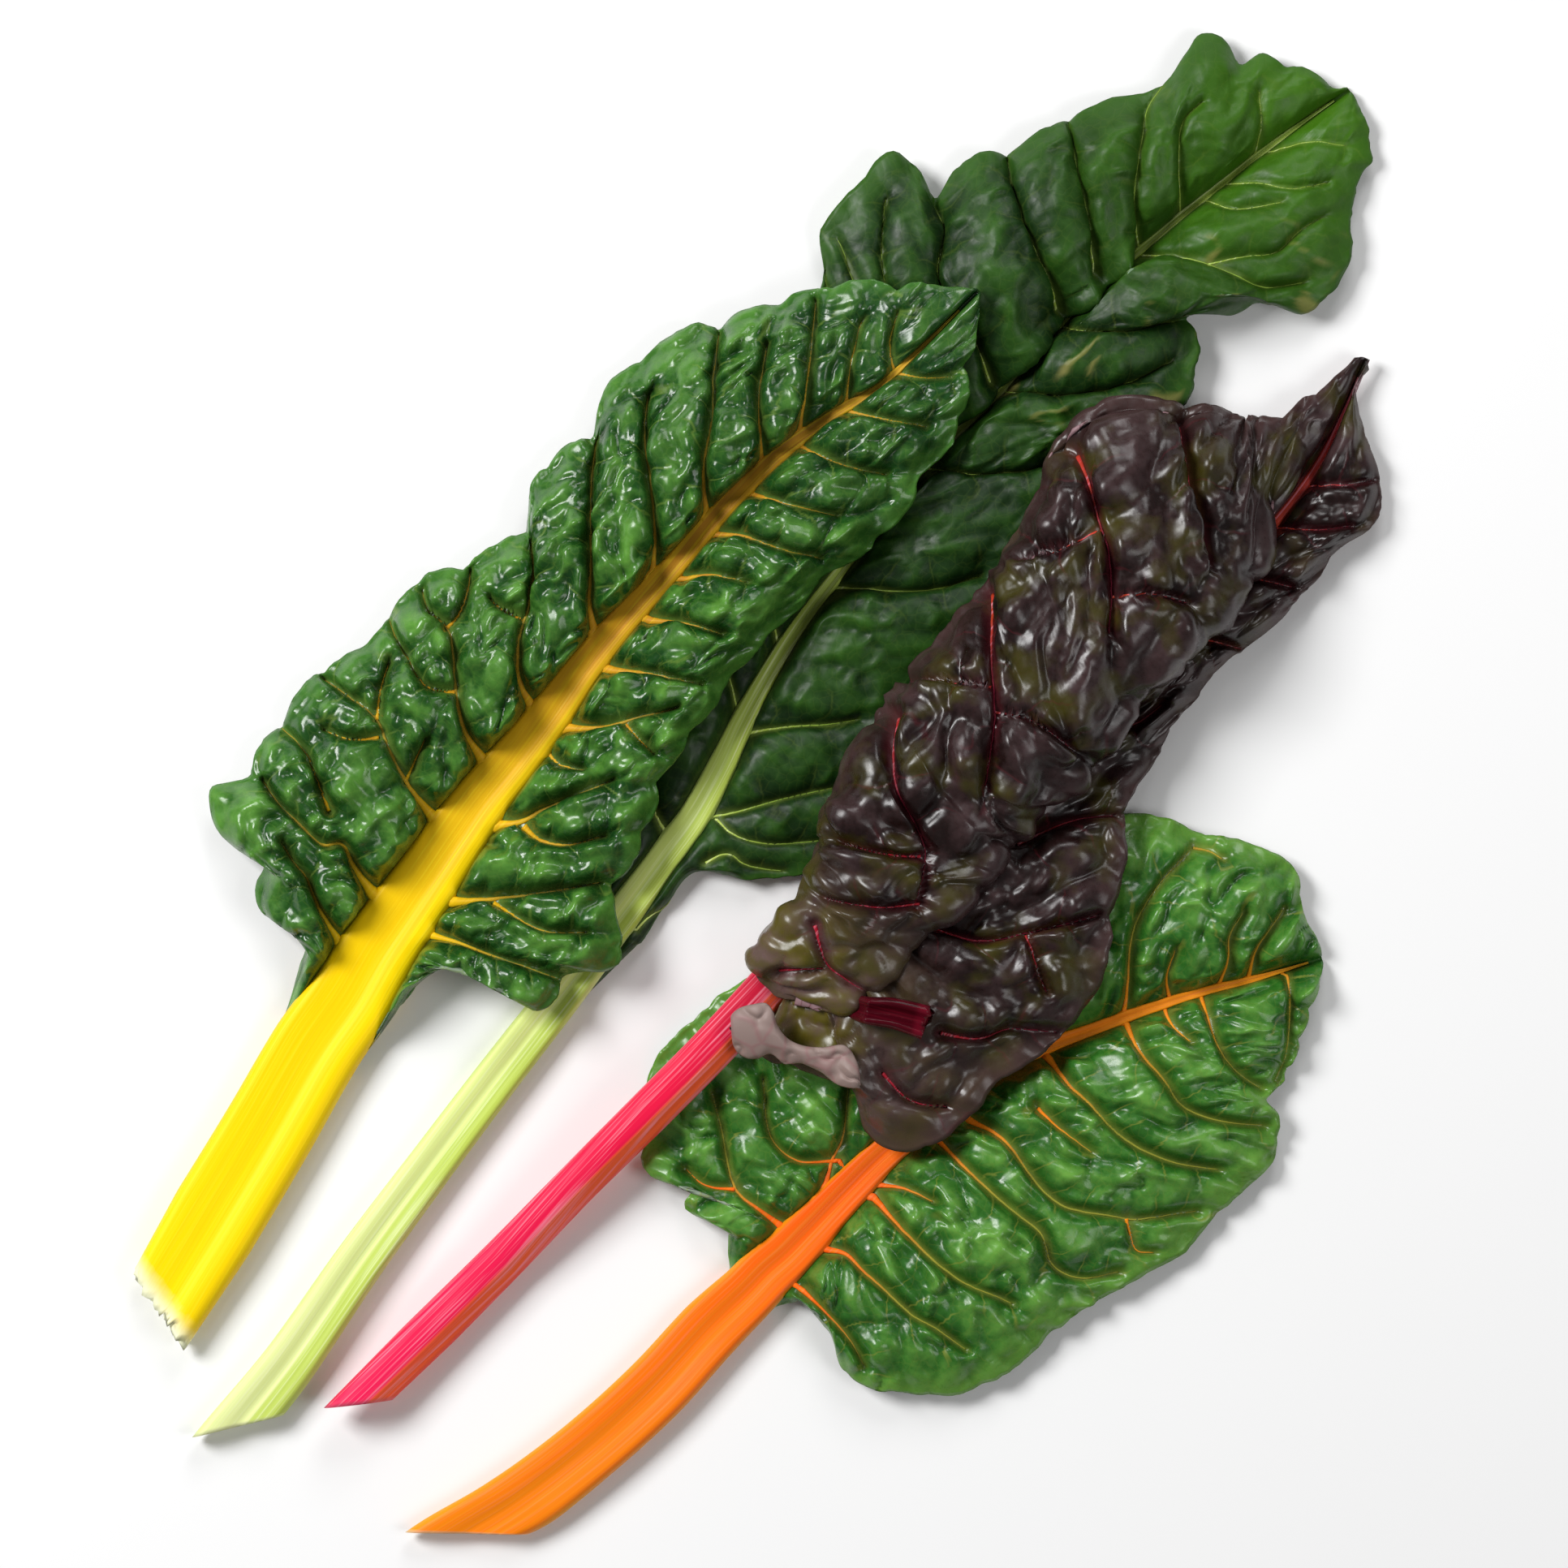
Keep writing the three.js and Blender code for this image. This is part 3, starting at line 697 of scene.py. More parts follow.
        grain = add(tree, "TexNoise", links)
        middle = self._cells(tree, self.dome_mm, "F1")
        dome = add(tree, "Math", {0: middle, 1: middle}, operation="MULTIPLY")
        dome = add(tree, "Math", {0: 1.0, 1: dome}, operation="SUBTRACT")
        basin = add(tree, "ValToRGB", {0: net}, stops=((0.0, 0.0), (0.3, 0.12)))
        fine = add(tree, "Math", {0: grain, 1: 0.25, 2: basin}, operation="MULTIPLY_ADD")
        relief = add(tree, "Math", {0: dome, 1: fine}, operation="ADD")
        links = {"Height": relief, "Distance": self.bump_mm * MM, "Strength": 1.0}
        bump = add(tree, "Bump", links)
        links = {"Base Color": tone, "Roughness": gloss, "IOR": self.ior, "Metallic": 0.0, "Normal": bump}
        shader = add(tree, "BsdfPrincipled", links)
        add(tree, "OutputMaterial", {"Surface": shader}, None)
        return material

    def _lower(self) -> Skin:
        """The underside: paler and duller, with its net of veins standing out.

        Returns:
            The material.
        """
        material, tree = blank(f"leaf underside, {self.name}")
        net = self._cells(tree, self.mesh_mm, "DISTANCE_TO_EDGE")
        share = add(tree, "ValToRGB", {0: net}, stops=((0.0, self.net_share), (0.1, 0.0)))
        links = {0: share, 6: linear(self.underside), 7: linear(self.vein)}
        tone = add(tree, "Mix", links, 2, data_type="RGBA")
        ridge = add(tree, "ValToRGB", {0: net}, stops=((0.0, 1.0), (0.12, 0.0)))
        links = {"Height": ridge, "Distance": self.net_mm * MM, "Strength": self.net_share}
        bump = add(tree, "Bump", links)
        links = {"Base Color": tone, "Roughness": self.underside_roughness, "IOR": self.ior}
        shader = add(tree, "BsdfPrincipled", {**links, "Metallic": 0.0, "Normal": bump})
        add(tree, "OutputMaterial", {"Surface": shader}, None)
        return material


@dataclass(frozen=True)
class StalkFinish:
    """Moist chard stalk: smooth skin over long fibres, so it is bright and finely streaked."""

    name: str
    length_tones: tuple[tuple[float, str], ...]
    streak: str
    flank: str
    # colour of the stalk's right face; on the pale green stalk it is painted shade in the groove
    right_face_tone_and_shade: Optional[str] = None
    vein_end: str = "7d9c3c"  # what the side veins fade to
    cut: str = "f4f2cc"
    streak_share: float = 0.35
    shade_share: float = 0.25  # how plainly the broad darker bands show
    face_from: float = 0.6  # share of the width where the right face begins
    roughness: float = 0.45
    ior: float = 1.36
    fibre_mm: float = 0.6  # width of a fibre
    fibre_length_mm: float = 45.0
    fibre_height_mm: float = 0.12
    tint: float = 0.6  # share of the skin's own tone in its gloss

    def build(self) -> Skin:
        """Makes the stalk's skin.

        Returns:
            The material. Its layers go on in order, each hiding part of those before it.
        """
        material, tree = blank(f"moist stalk skin, {self.name}")
        run, across, cut, length, width, fade = (
            add(tree, "Attribute", {}, "Fac", attribute_name=name)
            for name in ("run", "across", "cut", "length_mm", "width_mm", "fade")
        )
        sideways = add(tree, "Math", {0: width, 1: self.fibre_mm}, operation="DIVIDE")
        onward = add(tree, "Math", {0: length, 1: self.fibre_length_mm}, operation="DIVIDE")
        fibres = add(tree, "CombineXYZ", {0: sideways, 1: onward})
        streaks, broad = (
            add(tree, "TexNoise", {"Vector": fibres, "Scale": scale, "Detail": detail})
            for scale, detail in ((1.0, 3.0), (0.3, 2.0))
        )
        tone = add(tree, "ValToRGB", {0: run}, stops=self.length_tones)
        layers = []
        # the right face's colour over the lower stalk, painted shade on the pale green stalk
        if self.right_face_tone_and_shade is not None:
            stops = ((self.face_from, 0.0), (self.face_from + 0.06, 0.9))
            face = add(tree, "ValToRGB", {0: across}, stops=stops)
            low = add(tree, "ValToRGB", {0: run}, stops=((0.35, 1.0), (0.6, 0.2)))
            face = add(tree, "Math", {0: face, 1: low}, operation="MULTIPLY")
            layers.append((face, linear(self.right_face_tone_and_shade)))
        rim = add(tree, "Math", {0: across, 1: 0.5}, operation="SUBTRACT")
        rim = add(tree, "Math", {0: rim}, operation="ABSOLUTE")
        rim = add(tree, "ValToRGB", {0: rim}, stops=((0.42, 0.0), (0.5, 0.7)))
        layers.append((rim, linear(self.flank)))
        marks = add(tree, "ValToRGB", {0: streaks}, stops=((0.5, 0.0), (0.7, 1.0)))
        marks = add(tree, "Math", {0: marks, 1: self.streak_share}, operation="MULTIPLY")
        layers.append((marks, linear(self.streak)))
        shade = add(tree, "ValToRGB", {0: broad}, stops=((0.35, 1.0), (0.6, 0.0)))
        shade = add(tree, "Math", {0: shade, 1: self.shade_share}, operation="MULTIPLY")
        layers += [(shade, linear(self.flank)), (cut, linear(self.cut)), (fade, linear(self.vein_end))]
        for share, colour in layers:
            tone = add(tree, "Mix", {0: share, 6: tone, 7: colour}, 2, data_type="RGBA")
        links = {0: self.tint, 6: linear("ffffff"), 7: tone}
        sheen = add(tree, "Mix", links, 2, data_type="RGBA")
        links = {"Height": streaks, "Distance": self.fibre_height_mm * MM, "Strength": 0.7}
        bump = add(tree, "Bump", links)
        links = {"Base Color": tone, "Specular Tint": sheen, "Roughness": self.roughness, "Normal": bump}
        shader = add(tree, "BsdfPrincipled", {**links, "IOR": self.ior, "Metallic": 0.0})
        add(tree, "OutputMaterial", {"Surface": shader}, None)
        return material


@dataclass(frozen=True)
class Studio:
    """A pale floor, a camera straight above and large soft lights."""

    page_turn: float = 40.0  # degrees that the view is rolled against the leaves
    centre: tuple[float, float] = (-24.5, -2.5)  # mm, where the camera looks
    height: float = 2.0  # m, camera to floor
    frame_width: float = 425.0  # mm of floor that the camera's frame spans
    sensor: float = 36.0  # mm
    floor_size: float = 4.0  # m
    surround: float = 0.15  # strength of the light from all round

    def build(self) -> None:
        """Makes the floor, the camera and the lights."""
        self._floor()
        self._camera()
        self._lights()

    def _floor(self) -> None:
        """A plain pale floor."""
        bm = bmesh.new()
        bmesh.ops.create_grid(bm, x_segments=1, y_segments=1, size=self.floor_size)
        mesh = bpy.data.meshes.new("floor")
        bm.to_mesh(mesh)
        bm.free()
        floor = bpy.data.objects.new("floor", mesh)
        bpy.context.scene.collection.objects.link(floor)
        material = bpy.data.materials.new("pale matt floor")
        material.use_nodes = True
        shader = material.node_tree.nodes["Principled BSDF"]
        shader.inputs["Base Color"].default_value = (0.9, 0.9, 0.9, 1.0)
        shader.inputs["Roughness"].default_value = 0.9
        floor.data.materials.append(material)

    def _camera(self) -> None:
        """A long lens that looks straight down."""
        data = bpy.data.cameras.new("camera")
        data.sensor_width = self.sensor
        data.lens = self.sensor * self.height / (self.frame_width * MM)
        data.clip_end = 50.0
        camera = bpy.data.objects.new("camera", data)
        camera.location = (self.centre[0] * MM, self.centre[1] * MM, self.height)
        camera.rotation_euler = (0.0, 0.0, math.radians(self.page_turn))
        bpy.context.scene.collection.objects.link(camera)
        bpy.context.scene.camera = camera

    def _lights(self) -> None:
        """A white surround and soft boxes from either side."""
        world = bpy.data.worlds.new("surround")
        world.use_nodes = True
        inputs = world.node_tree.nodes["Background"].inputs
        inputs["Color"].default_value = (1.0, 1.0, 1.0, 1.0)
        inputs["Strength"].default_value = self.surround
        bpy.context.scene.world = world
        self._softbox("key", (-1.0, 0.55, 1.1), 0.6, 25.0)
        self._softbox("fill", (1.0, -0.3, 1.2), 0.7, 6.2)
        self._softbox("rim", (0.2, 1.3, 0.9), 0.6, 7.0)
        bpy.context.scene.view_settings.view_transform = "Standard"

    def _softbox(self, name: str, place: tuple[float, float, float], size: float, power: float) -> None:
        """A square area light aimed at the leaves.

        Args:
            name: the light's name.
            place: where it stands, in metres, before the page's turn.
            size: its side in metres.
            power: its power in watts.
        """
        data = bpy.data.lights.new(name, "AREA")
        data.size = size
        data.energy = power
        lamp = bpy.data.objects.new(name, data)
        turn = math.radians(self.page_turn)
        x = place[0] * math.cos(turn) - place[1] * math.sin(turn)
        y = place[0] * math.sin(turn) + place[1] * math.cos(turn)
        lamp.location = (x, y, place[2])
        aim = Vector((0.0, 0.0, 0.0)) - lamp.location
        lamp.rotation_euler = aim.to_track_quat("-Z", "Y").to_euler()
        bpy.context.scene.collection.objects.link(lamp)


# ---------------- one leaf

# A rolled half blade in section: [towards the margin, towards the roll, height as a share of
# the crown, mm over the midrib's top], from the midrib's left flank, up and over the midrib
# to the right, and back across to the left margin.
ROLLED = np.array(
    [
        [0, 0, 0, -1],
        [0.1, 0, 0, 1.2],
        [0.07, 0.1, 0.08, 3.2],
        [0, 0.55, 0.22, 4],
        [0, 0.93, 0.42, 3.6],
        [0, 0.98, 0.72, 2],
        [0.04, 0.62, 0.96, 1],
        [0.3, 0.18, 1.04, 0],
        [0.6, 0, 0.92, 0],
        [0.86, 0, 0.6, 0],
        [1, 0, 0.12, 0],
    ]
)
TURNED_BACK = 0.46  # share of a rolled half's width from which it faces up again

MARGIN_SAMPLES = 900  # places at which a margin's length is measured
VEIN_SAMPLES = 200
CENTRE_SAMPLES = 400
STALK_RINGS = 240
STALK_SIDES = 72
CROWDING = 1.15  # power that crowds a blade's columns towards the midrib
VEIN_SQUASH = 0.6  # a side vein's height over its width
VEIN_FADE = 26.0  # distance from its root over which a side vein fades
BULGE_AT = 2.4  # distance from the midrib at which the blade bulges most over it
CUT_REACH = 45.0  # length of stalk over which the slant of its cut dies away
CUT_DEPTH = {CutEnd.KNIFE: 2.0, CutEnd.TORN: 7.0}  # length of stalk that shows the cut's tone
TEAR_REACH = 9.0  # length of stalk that a torn end reaches into

# A stub in section, as (share of width, share of depth), from its left foot over the top.
STUB = np.array(
    [
        (-0.5, 0.15),
        (-0.46, 0.7),
        (-0.3, 0.95),
        (-0.1, 0.5),
        (0.08, 0.42),
        (0.28, 0.9),
        (0.46, 0.75),
        (0.5, 0.2),
        (0.3, 0.0),
        (-0.3, 0.0),
    ]
)

Vein = tuple[float, Sequence[tuple[float, float]]]


def spline(table: Array, u: Array) -> Array:
    """Values of a Catmull-Rom curve through a table's rows at fractional row numbers.

    Args:
        table: one row of values for each knot.
        u: fractional row numbers.

    Returns:
        The values, with a last axis like the table's.
    """
    full = np.vstack([2 * table[0] - table[1], table, 2 * table[-1] - table[-2]])
    k = np.clip(np.floor(u), 0, len(table) - 2).astype(int)
    t = (u - k)[..., None]
    p0, p1, p2, p3 = (full[k + n] for n in range(4))
    bend = 2 * p0 - 5 * p1 + 4 * p2 - p3 + t * (3 * (p1 - p2) + p3 - p0)
    return p1 + 0.5 * t * (p2 - p0 + t * bend)


@dataclass(frozen=True)
class Relief:
    """How the skin stands up between the side veins. Millimetres."""

    swell: float = 2.4  # how far it arches up between two side veins
    strip: float = 8.0  # half the space between side veins where it has its full height
    puff: float = 0.6  # how far an arch leans out over the vein beside it
    cell: float = 1.0  # height of the cushions on an arch's flanks
    pitch: float = 7.0  # spacing of those cushions along a vein
    lump: float = 1.0  # height of broad cushions all over
    lump_size: tuple[float, float] = (9.0, 13.0)  # along the side veins, and across them
    fold: float = 0.8  # height of irregular swellings with sharp creases
    fold_size: tuple[float, float] = (8.0, 11.0)
    ridge: float = 0.5  # height of narrow ridges
    ridge_size: tuple[float, float] = (9.0, 9.0)
    wave: float = 1.5  # height of slow waves
    wave_size: float = 26.0
    lean: float = 1.2  # how far it leans towards the tip
    over_midrib: float = 1.6  # how far it bulges over the midrib
    cover: tuple[float, float, float] = (0.0, 0.0, 0.0)  # from row, to row, mm more on the left
    root: float = 4.0  # distance from the midrib over which it all rises
    vigour: tuple[float, ...] = (1.0, 1.0)  # share of it all from the first row to the last
    cross: float = 0.0  # height of the sharp folds that run across an arch
    cross_pitch: float = 6.5  # spacing of those folds
    worn: tuple[float, float] = (0.0, 0.0)  # rows between which the right half's ridges are dry
    frill: float = 1.5  # height of the margin's waves
    nick: float = 0.5  # unevenness of the outline


@dataclass
class ChardLeaf:
    """One cut leaf. Rows run along the stalk, as in the part.

    A petiole row is [x, y, width, thickness]. A rib row adds the places on the two margins
    that it reaches: [x, y, width, thickness, left x, left y, left crown, right x, right y,
    right crown]. A side vein is its width at the root and the points it passes through.
    """

    name: str
    petiole: Sequence[Sequence[float]]
    ribs: Sequence[Sequence[float]]
    veins: dict[Side, Sequence[Vein]]
    top: Sequence[tuple[float, float]]  # the stalk's upper outline: share of width, of depth
    blade_finish: BladeFinish
    stalk_finish: StalkFinish
    slant: float
    bulge: float
    relief: Relief
    lobes: dict[Side, Sequence[Sequence[float]]]
    vein_share: float = 0.2  # radius of a side vein over its width at the root
    vein_flare: float = 0.3  # how much it widens where it leaves the midrib
    ribbing: float = 0.05  # mm, height of the fine ridges along the stalk
    ridge_count: int = 9
    end: CutEnd = CutEnd.KNIFE
    seed: int = 1
    rows: int = 300
    columns: int = 66
    winged: bool = True  # whether the blade runs down the stalk's flanks
    open_row: float = 0.0  # the rib row where a rolled half has opened
    roll: Optional[Sequence[Sequence[float]]] = None
    bed: Optional[Bed] = None
    made: dict[str, Array] = field(default_factory=dict)

    def __post_init__(self) -> None:
        """Fits the curves that everything else reads."""
        rows = [*self.petiole, *self.ribs]
        self.first = len(self.petiole)
        self.last = len(self.ribs) - 1
        self.centre = Course(rows)
        self.widths = [row[2] for row in rows]
        self.depths = [row[3] for row in rows]
        self.margins = {
            Side.LEFT: Margin([(rib[4], rib[5]) for rib in self.ribs], self.lobes[Side.LEFT]),
            Side.RIGHT: Margin([(rib[7], rib[8]) for rib in self.ribs], self.lobes[Side.RIGHT]),
        }
        self.crowns = {
            Side.LEFT: [rib[6] for rib in self.ribs],
            Side.RIGHT: [rib[9] for rib in self.ribs],
        }
        self.roll_line = Course(self.roll) if self.roll else None
        self.grain = Grain(self.seed)
        self.levels = self._stalk_levels()

    # ---------------- the stalk's own course

    def _station(self, u: Array) -> tuple[Array, Array, Array]:
        """Points, headings and rightward directions of the stalk at rows u.

        Args:
            u: stalk rows.

        Returns:
            The points, the headings and the rightward directions.
        """
        heading = self.centre.heading(u)
        right = np.stack([heading[..., 1], -heading[..., 0]], axis=-1)
        return self.centre.at(u), heading, right

    def _stalk_levels(self) -> Array:
        """Height of the stalk's underside at each row: on the floor, or over other leaves.

        Returns:
            One height for each row.
        """
        u = np.arange(len(self.widths), dtype=float)
        point, _, right = self._station(u)
        if self.bed is None:
            return np.zeros(len(u))
        under = np.zeros(len(u))
        for share in (-0.5, 0.0, 0.5):
            spot = point + right * (share * np.array(self.widths))[:, None]
            under = np.maximum(under, self.bed.at(spot[:, 0], spot[:, 1]))
        away = np.linalg.norm(point[:, None] - point[None], axis=-1)
        return np.maximum(0.0, (under[None] - STALK_SLOPE * away).max(axis=1))

    def _attach(self, u: Array) -> Array:
        """Height over the stalk's underside at which the blade leaves the midrib."""
        return np.maximum(0.65, 0.8 * along(self.depths, u) - 0.9)

    # ---------------- the blade before it is puckered

    def _plan(self, s: Array, side: Side, v: Array) -> tuple[Array, Array, Array]:
        """Places seen from above, with the margin's and the root's place on each row.

        Args:
            s: rib rows.
            side: which half.
            v: shares of the half's width, from the midrib outwards.

        Returns:
            The places, and the margin's and the root's place on each row.
        """
        point, _, right = self._station(self.first + s)
        width = along(self.widths, self.first + s)
        root = point + right * (side.value * (width / 2 - FLANK_SINK))[..., None]
        end = self.margins[side].at(np.clip(s, 0, self.last))
        start = self.margins[side].at(np.zeros(1))[0]
        base, _, base_right = self._station(np.array([float(self.first)]))
        base_root = base[0] + base_right[0] * side.value * (self.widths[self.first] / 2)
        wing = root + (start - base_root) * np.maximum(0.03, 1 + s)[..., None] ** 1.3
        end = np.where((s < 0)[..., None], wing, end)
        out = end - root
        length = np.maximum(np.linalg.norm(out, axis=-1, keepdims=True), 1e-6)
        share = np.abs(2.0 * (s - np.floor(s)) - 1.0)
        lobe = self.bulge * (0.4 - share**2) - 0.5
        x, y = end[..., 0], end[..., 1]
        notch = self.grain.soft(x / 4.5, y / 4.5) + 0.5 * self.grain.soft(x / 1.7, y / 1.7)
        nick = self.relief.nick * notch
        extra = (lobe + nick) * smooth(length[..., 0] / 12.0)
        end = end + out / length * extra[..., None]
        return lerp(root, end, v[..., None]), end, root

    def _local(self, s: Array, side: Side, v: Array) -> tuple[Array, Array, Array, Array]:
        """The smooth blade, before it is rolled or puckered.

        Args:
            s: rib rows.
            side: which half.
            v: shares of the half's width.

        Returns:
            Points, the level beneath them, and the margin's and the root's places.
        """
        u = self.first + s
        flat, end, root = self._plan(s, side, v)
        level = along(self.levels, u)
        below = self.bed.at(flat[..., 0], flat[..., 1]) if self.bed else np.zeros(s.shape)
        base = np.maximum(below, lerp(level, below, smooth(v / 0.7)))
        attach = self._attach(u)
        crown = along(self.crowns[side], np.clip(s, 0, self.last)) * smooth(1 + s)
        arch = np.maximum(0.0, crown - (attach + MARGIN_Z) / 2)
        height = lerp(attach, MARGIN_Z, v) + arch * 4 * v * (1 - v)
        return np.concatenate([flat, (base + height)[..., None]], axis=-1), base, end, root

    def _rolled(self, s: Array, v: Array) -> Array:
        """The smooth rolled half, which opens into a plain half within a row of the open row.

        Args:
            s: rib rows.
            v: shares of the half's width.

        Returns:
            Points of the rolled half.
        """
        flat, base, end, root = self._local(s, Side.LEFT, v)
        outward, over, share, lift = np.moveaxis(spline(ROLLED, v * (len(ROLLED) - 1)), -1, 0)
        u = self.first + s
        turn = self.roll_line.at(np.clip(s, 0, self.last))
        place = root + (end - root) * outward[..., None] + (turn - root) * over[..., None]
        crown = along(self.crowns[Side.LEFT], np.clip(s, 0, self.last))
        level = np.maximum(along(self.levels, u), base)
        top = along(self.levels, u) + along(self.depths, u)
        height = lerp(top + lift, level + crown, share)
        ends = smooth(1 - v / 0.09) + smooth(1 - (1 - v) / 0.09)
        height = lerp(height, flat[..., 2], np.clip(ends, 0, 1))
        folded = np.concatenate([place, height[..., None]], axis=-1)
        return lerp(flat, folded, smooth((self.open_row - s) / 1.0)[..., None])

    def _row_numbers(self) -> Array:
        """Rib rows of the blade's grid lines, spaced evenly over the blade.

        Returns:
            One rib row for each grid line.
        """
        start = -1.0 if self.winged else 0.0
        fine = np.linspace(start, self.last, MARGIN_SAMPLES)
        step = np.zeros(len(fine) - 1)
        for side in Side:
            for share in (0.1, 1.0):
                place = self._plan(fine, side, np.full(len(fine), share))[0]
                step += np.linalg.norm(np.diff(place, axis=0), axis=1) + 0.02
        gone = np.concatenate([[0], np.cumsum(step)])
        return np.interp(np.linspace(0, gone[-1], self.rows), gone, fine)

    # ---------------- its puckered skin

    def _vein_points(self, side: Side) -> list[Array]:
        """Each side vein as evenly spaced points.

        Args:
            side: which half.

        Returns:
            The points of each vein.
        """
        paths = []
        for _, points in self.veins[side]:
            course = Course(points)
            u = np.linspace(0, len(points) - 1, VEIN_SAMPLES)
            fine = course.at(u)
            gone = np.concatenate([[0], np.cumsum(np.linalg.norm(np.diff(fine, axis=0), axis=1))])
            ticks = np.linspace(0, gone[-1], max(4, int(gone[-1] / VeinField.STEP)))
            paths.append(np.stack([np.interp(ticks, gone, fine[:, k]) for k in (0, 1)], axis=1))
        return paths

    def _vein_radius(self, width: float, path: Array) -> Array:
        """Radius of a side vein at its points, widest where it leaves the midrib.

        Args:
            width: its width at the root.
            path: its points.

        Returns:
            The radius at each point.
        """
        gone = np.linspace(0, 1, len(path))
        taper = self.vein_share * (1 - gone) ** 0.8
        flare = np.exp(-gone * len(path) * VeinField.STEP / 4.0)
        return 0.12 + width * (taper + self.vein_flare * flare)

    def _half(self, side: Side, s: Array, v: Array) -> tuple[Array, dict[str, Array]]:
        """One half of the blade.

        Args:
            side: which half.
            s: rib rows, shaped (rows, columns).
            v: shares of the half's width, from the midrib outwards.

        Returns:
            Points, and the values that the finish reads.
        """
        r, grain = self.relief, self.grain
        rolled = side is Side.LEFT and self.roll_line is not None
        plain = self._rolled(s, v) if rolled else self._local(s, side, v)[0]
        shown = smooth((s + 0.7) / 0.7)
        if rolled:
            opening = 1 - smooth((self.open_row - 0.2 - s) / 1.2)
            shown = shown * np.maximum(smooth((v - 0.36) / 0.14), opening)
        x, y = plain[..., 0], plain[..., 1]
        run = np.cumsum(np.linalg.norm(np.diff(plain, axis=1, prepend=plain[:, :1]), axis=-1), axis=1)
        middle = plain[:, plain.shape[1] * 3 // 4]
        across = np.cumsum(np.linalg.norm(np.diff(middle, axis=0, prepend=middle[:1]), axis=-1))
        across = across[:, None] + np.zeros_like(v)
        a = run + 2.6 * grain.soft(run / 9 + 3, across / 9) + 40 * side.value
        b = across + 3.0 * grain.soft(run / 10 + 8, across / 10)

        paths = self._vein_points(side)
        radii = [self._vein_radius(width, path) for (width, _), path in zip(self.veins[side], paths)]
        veins = VeinField(paths, radii, plain[..., :2])
        half = np.clip((veins.away + veins.other) / 2, 2.5, r.strip)
        share = np.clip(veins.away / half, 0, 1)
        arch = (1 - (1 - share) ** 2) ** 0.85
        count = (veins.along_vein - 0.35 * veins.away) / r.pitch
        count = count + 0.37 * veins.flank + 0.61 * veins.number + 0.3 * grain.soft(x / 7, y / 7)
        cushion = np.abs(np.sin(math.pi * count)) ** 0.6
        flank = smooth((1 - share) / 0.45) * smooth(veins.away / 1.2)
        clear = smooth(veins.away / 3.0)
        lump = grain.pillows(a / r.lump_size[0], b / r.lump_size[1])
        fold = grain.folds(a / r.fold_size[0] + 17, b / r.fold_size[1])
        ridge = grain.ridges(a / r.ridge_size[0] + 31, b / r.ridge_size[1])
        uneven = 1 + 0.35 * grain.soft(run / 22 + 5, across / 22)
        rooted = (1 - (1 - np.clip(run / r.root, 0, 1)) ** 2) ** 0.7
        if rolled:
            rooted = lerp(rooted, 1.0, smooth((self.open_row - s) / 1.0))
        height = r.swell * arch * (half / r.strip) ** 0.8 * uneven
        height = height + r.cell * cushion * flank
        height = height + (r.lump * lump + r.fold * fold + r.ridge * ridge) * clear
        warp = 0.6 * grain.soft(x / 8, y / 8 + 50) + 0.3 * grain.soft(x / 3.7, y / 3.7 + 50)
        crest = (1 - np.abs(np.sin(math.pi * (run / r.cross_pitch + warp)))) ** 1.2
        crest = crest * smooth(0.6 + 1.3 * grain.soft(x / 11 + 60, y / 11)) * clear
        height = height + r.cross * crest
        narrow = smooth(run[:, -1:] / 9.0)
        rows = np.linspace(0, self.last, len(r.vigour))
        shown = shown * narrow * np.interp(s, rows, r.vigour)
        rise = height * rooted * (1 - 0.35 * smooth((v - 0.78) / 0.22)) * shown

        up = plain if side is Side.RIGHT else plain[:, ::-1]
        normal = softened(normals_of(up), 3)
        normal = normal if side is Side.RIGHT else normal[:, ::-1]
        opened = smooth((s - self.open_row + 1.0) / 1.0) if rolled else 1.0
        upright = np.maximum(0.3 + 0.7 * smooth((v - 0.4) / 0.35), 1 - smooth((run - 3.0) / 9.0))
        upright = np.maximum(upright, 1 - smooth((s - 1.5) / 1.0)) * opened
        normal = lerp(normal, np.array([0.0, 0.0, 1.0]), upright[..., None])
        normal = normal / np.linalg.norm(normal, axis=-1, keepdims=True)
        made = plain + normal * rise[..., None]
        puff = 6.75 * share * (1 - share) ** 2 * (0.4 + 0.6 * cushion) * shown * rooted
        puff = puff * smooth(veins.along_vein / 10.0)
        made[..., :2] += veins.toward * (r.puff * puff * (half / r.strip))[..., None]
        wave = 0.5 + 0.5 * grain.soft(x / r.wave_size, y / r.wave_size)
        made[..., 2] += r.wave * wave * smooth(run / 12) * shown
        outer = smooth((v - 0.72) / 0.28)
        made[..., 2] += r.frill * outer * narrow * (0.5 + 0.5 * grain.soft(across / 5.0, v * 2 + 40))
        _, heading, right = self._station(self.first + s)
        made[..., :2] += heading * (r.lean * arch * rooted * shown)[..., None]
        if not rolled:
            start, stop, more = r.cover
            covered = smooth((s - start) / 0.6) * smooth((stop - s) / 0.6) * more * (side is Side.LEFT)
            bulge = run / BULGE_AT * np.exp(1 - run / BULGE_AT)
            bulge = bulge * arch * (0.5 + 0.5 * cushion) * smooth(s + 0.5)
            ahead = 0.5 + 0.5 * smooth((self.last - s) / (0.65 * self.last))
            over = (r.over_midrib * ahead + covered) * bulge
            made[..., :2] -= right * side.value * over[..., None]
            made[..., 2] += (0.3 * r.over_midrib * ahead + 0.9 * covered) * bulge
        made[..., 2] = np.maximum(made[..., 2], BLADE_THICKNESS + FLOOR_GAP)
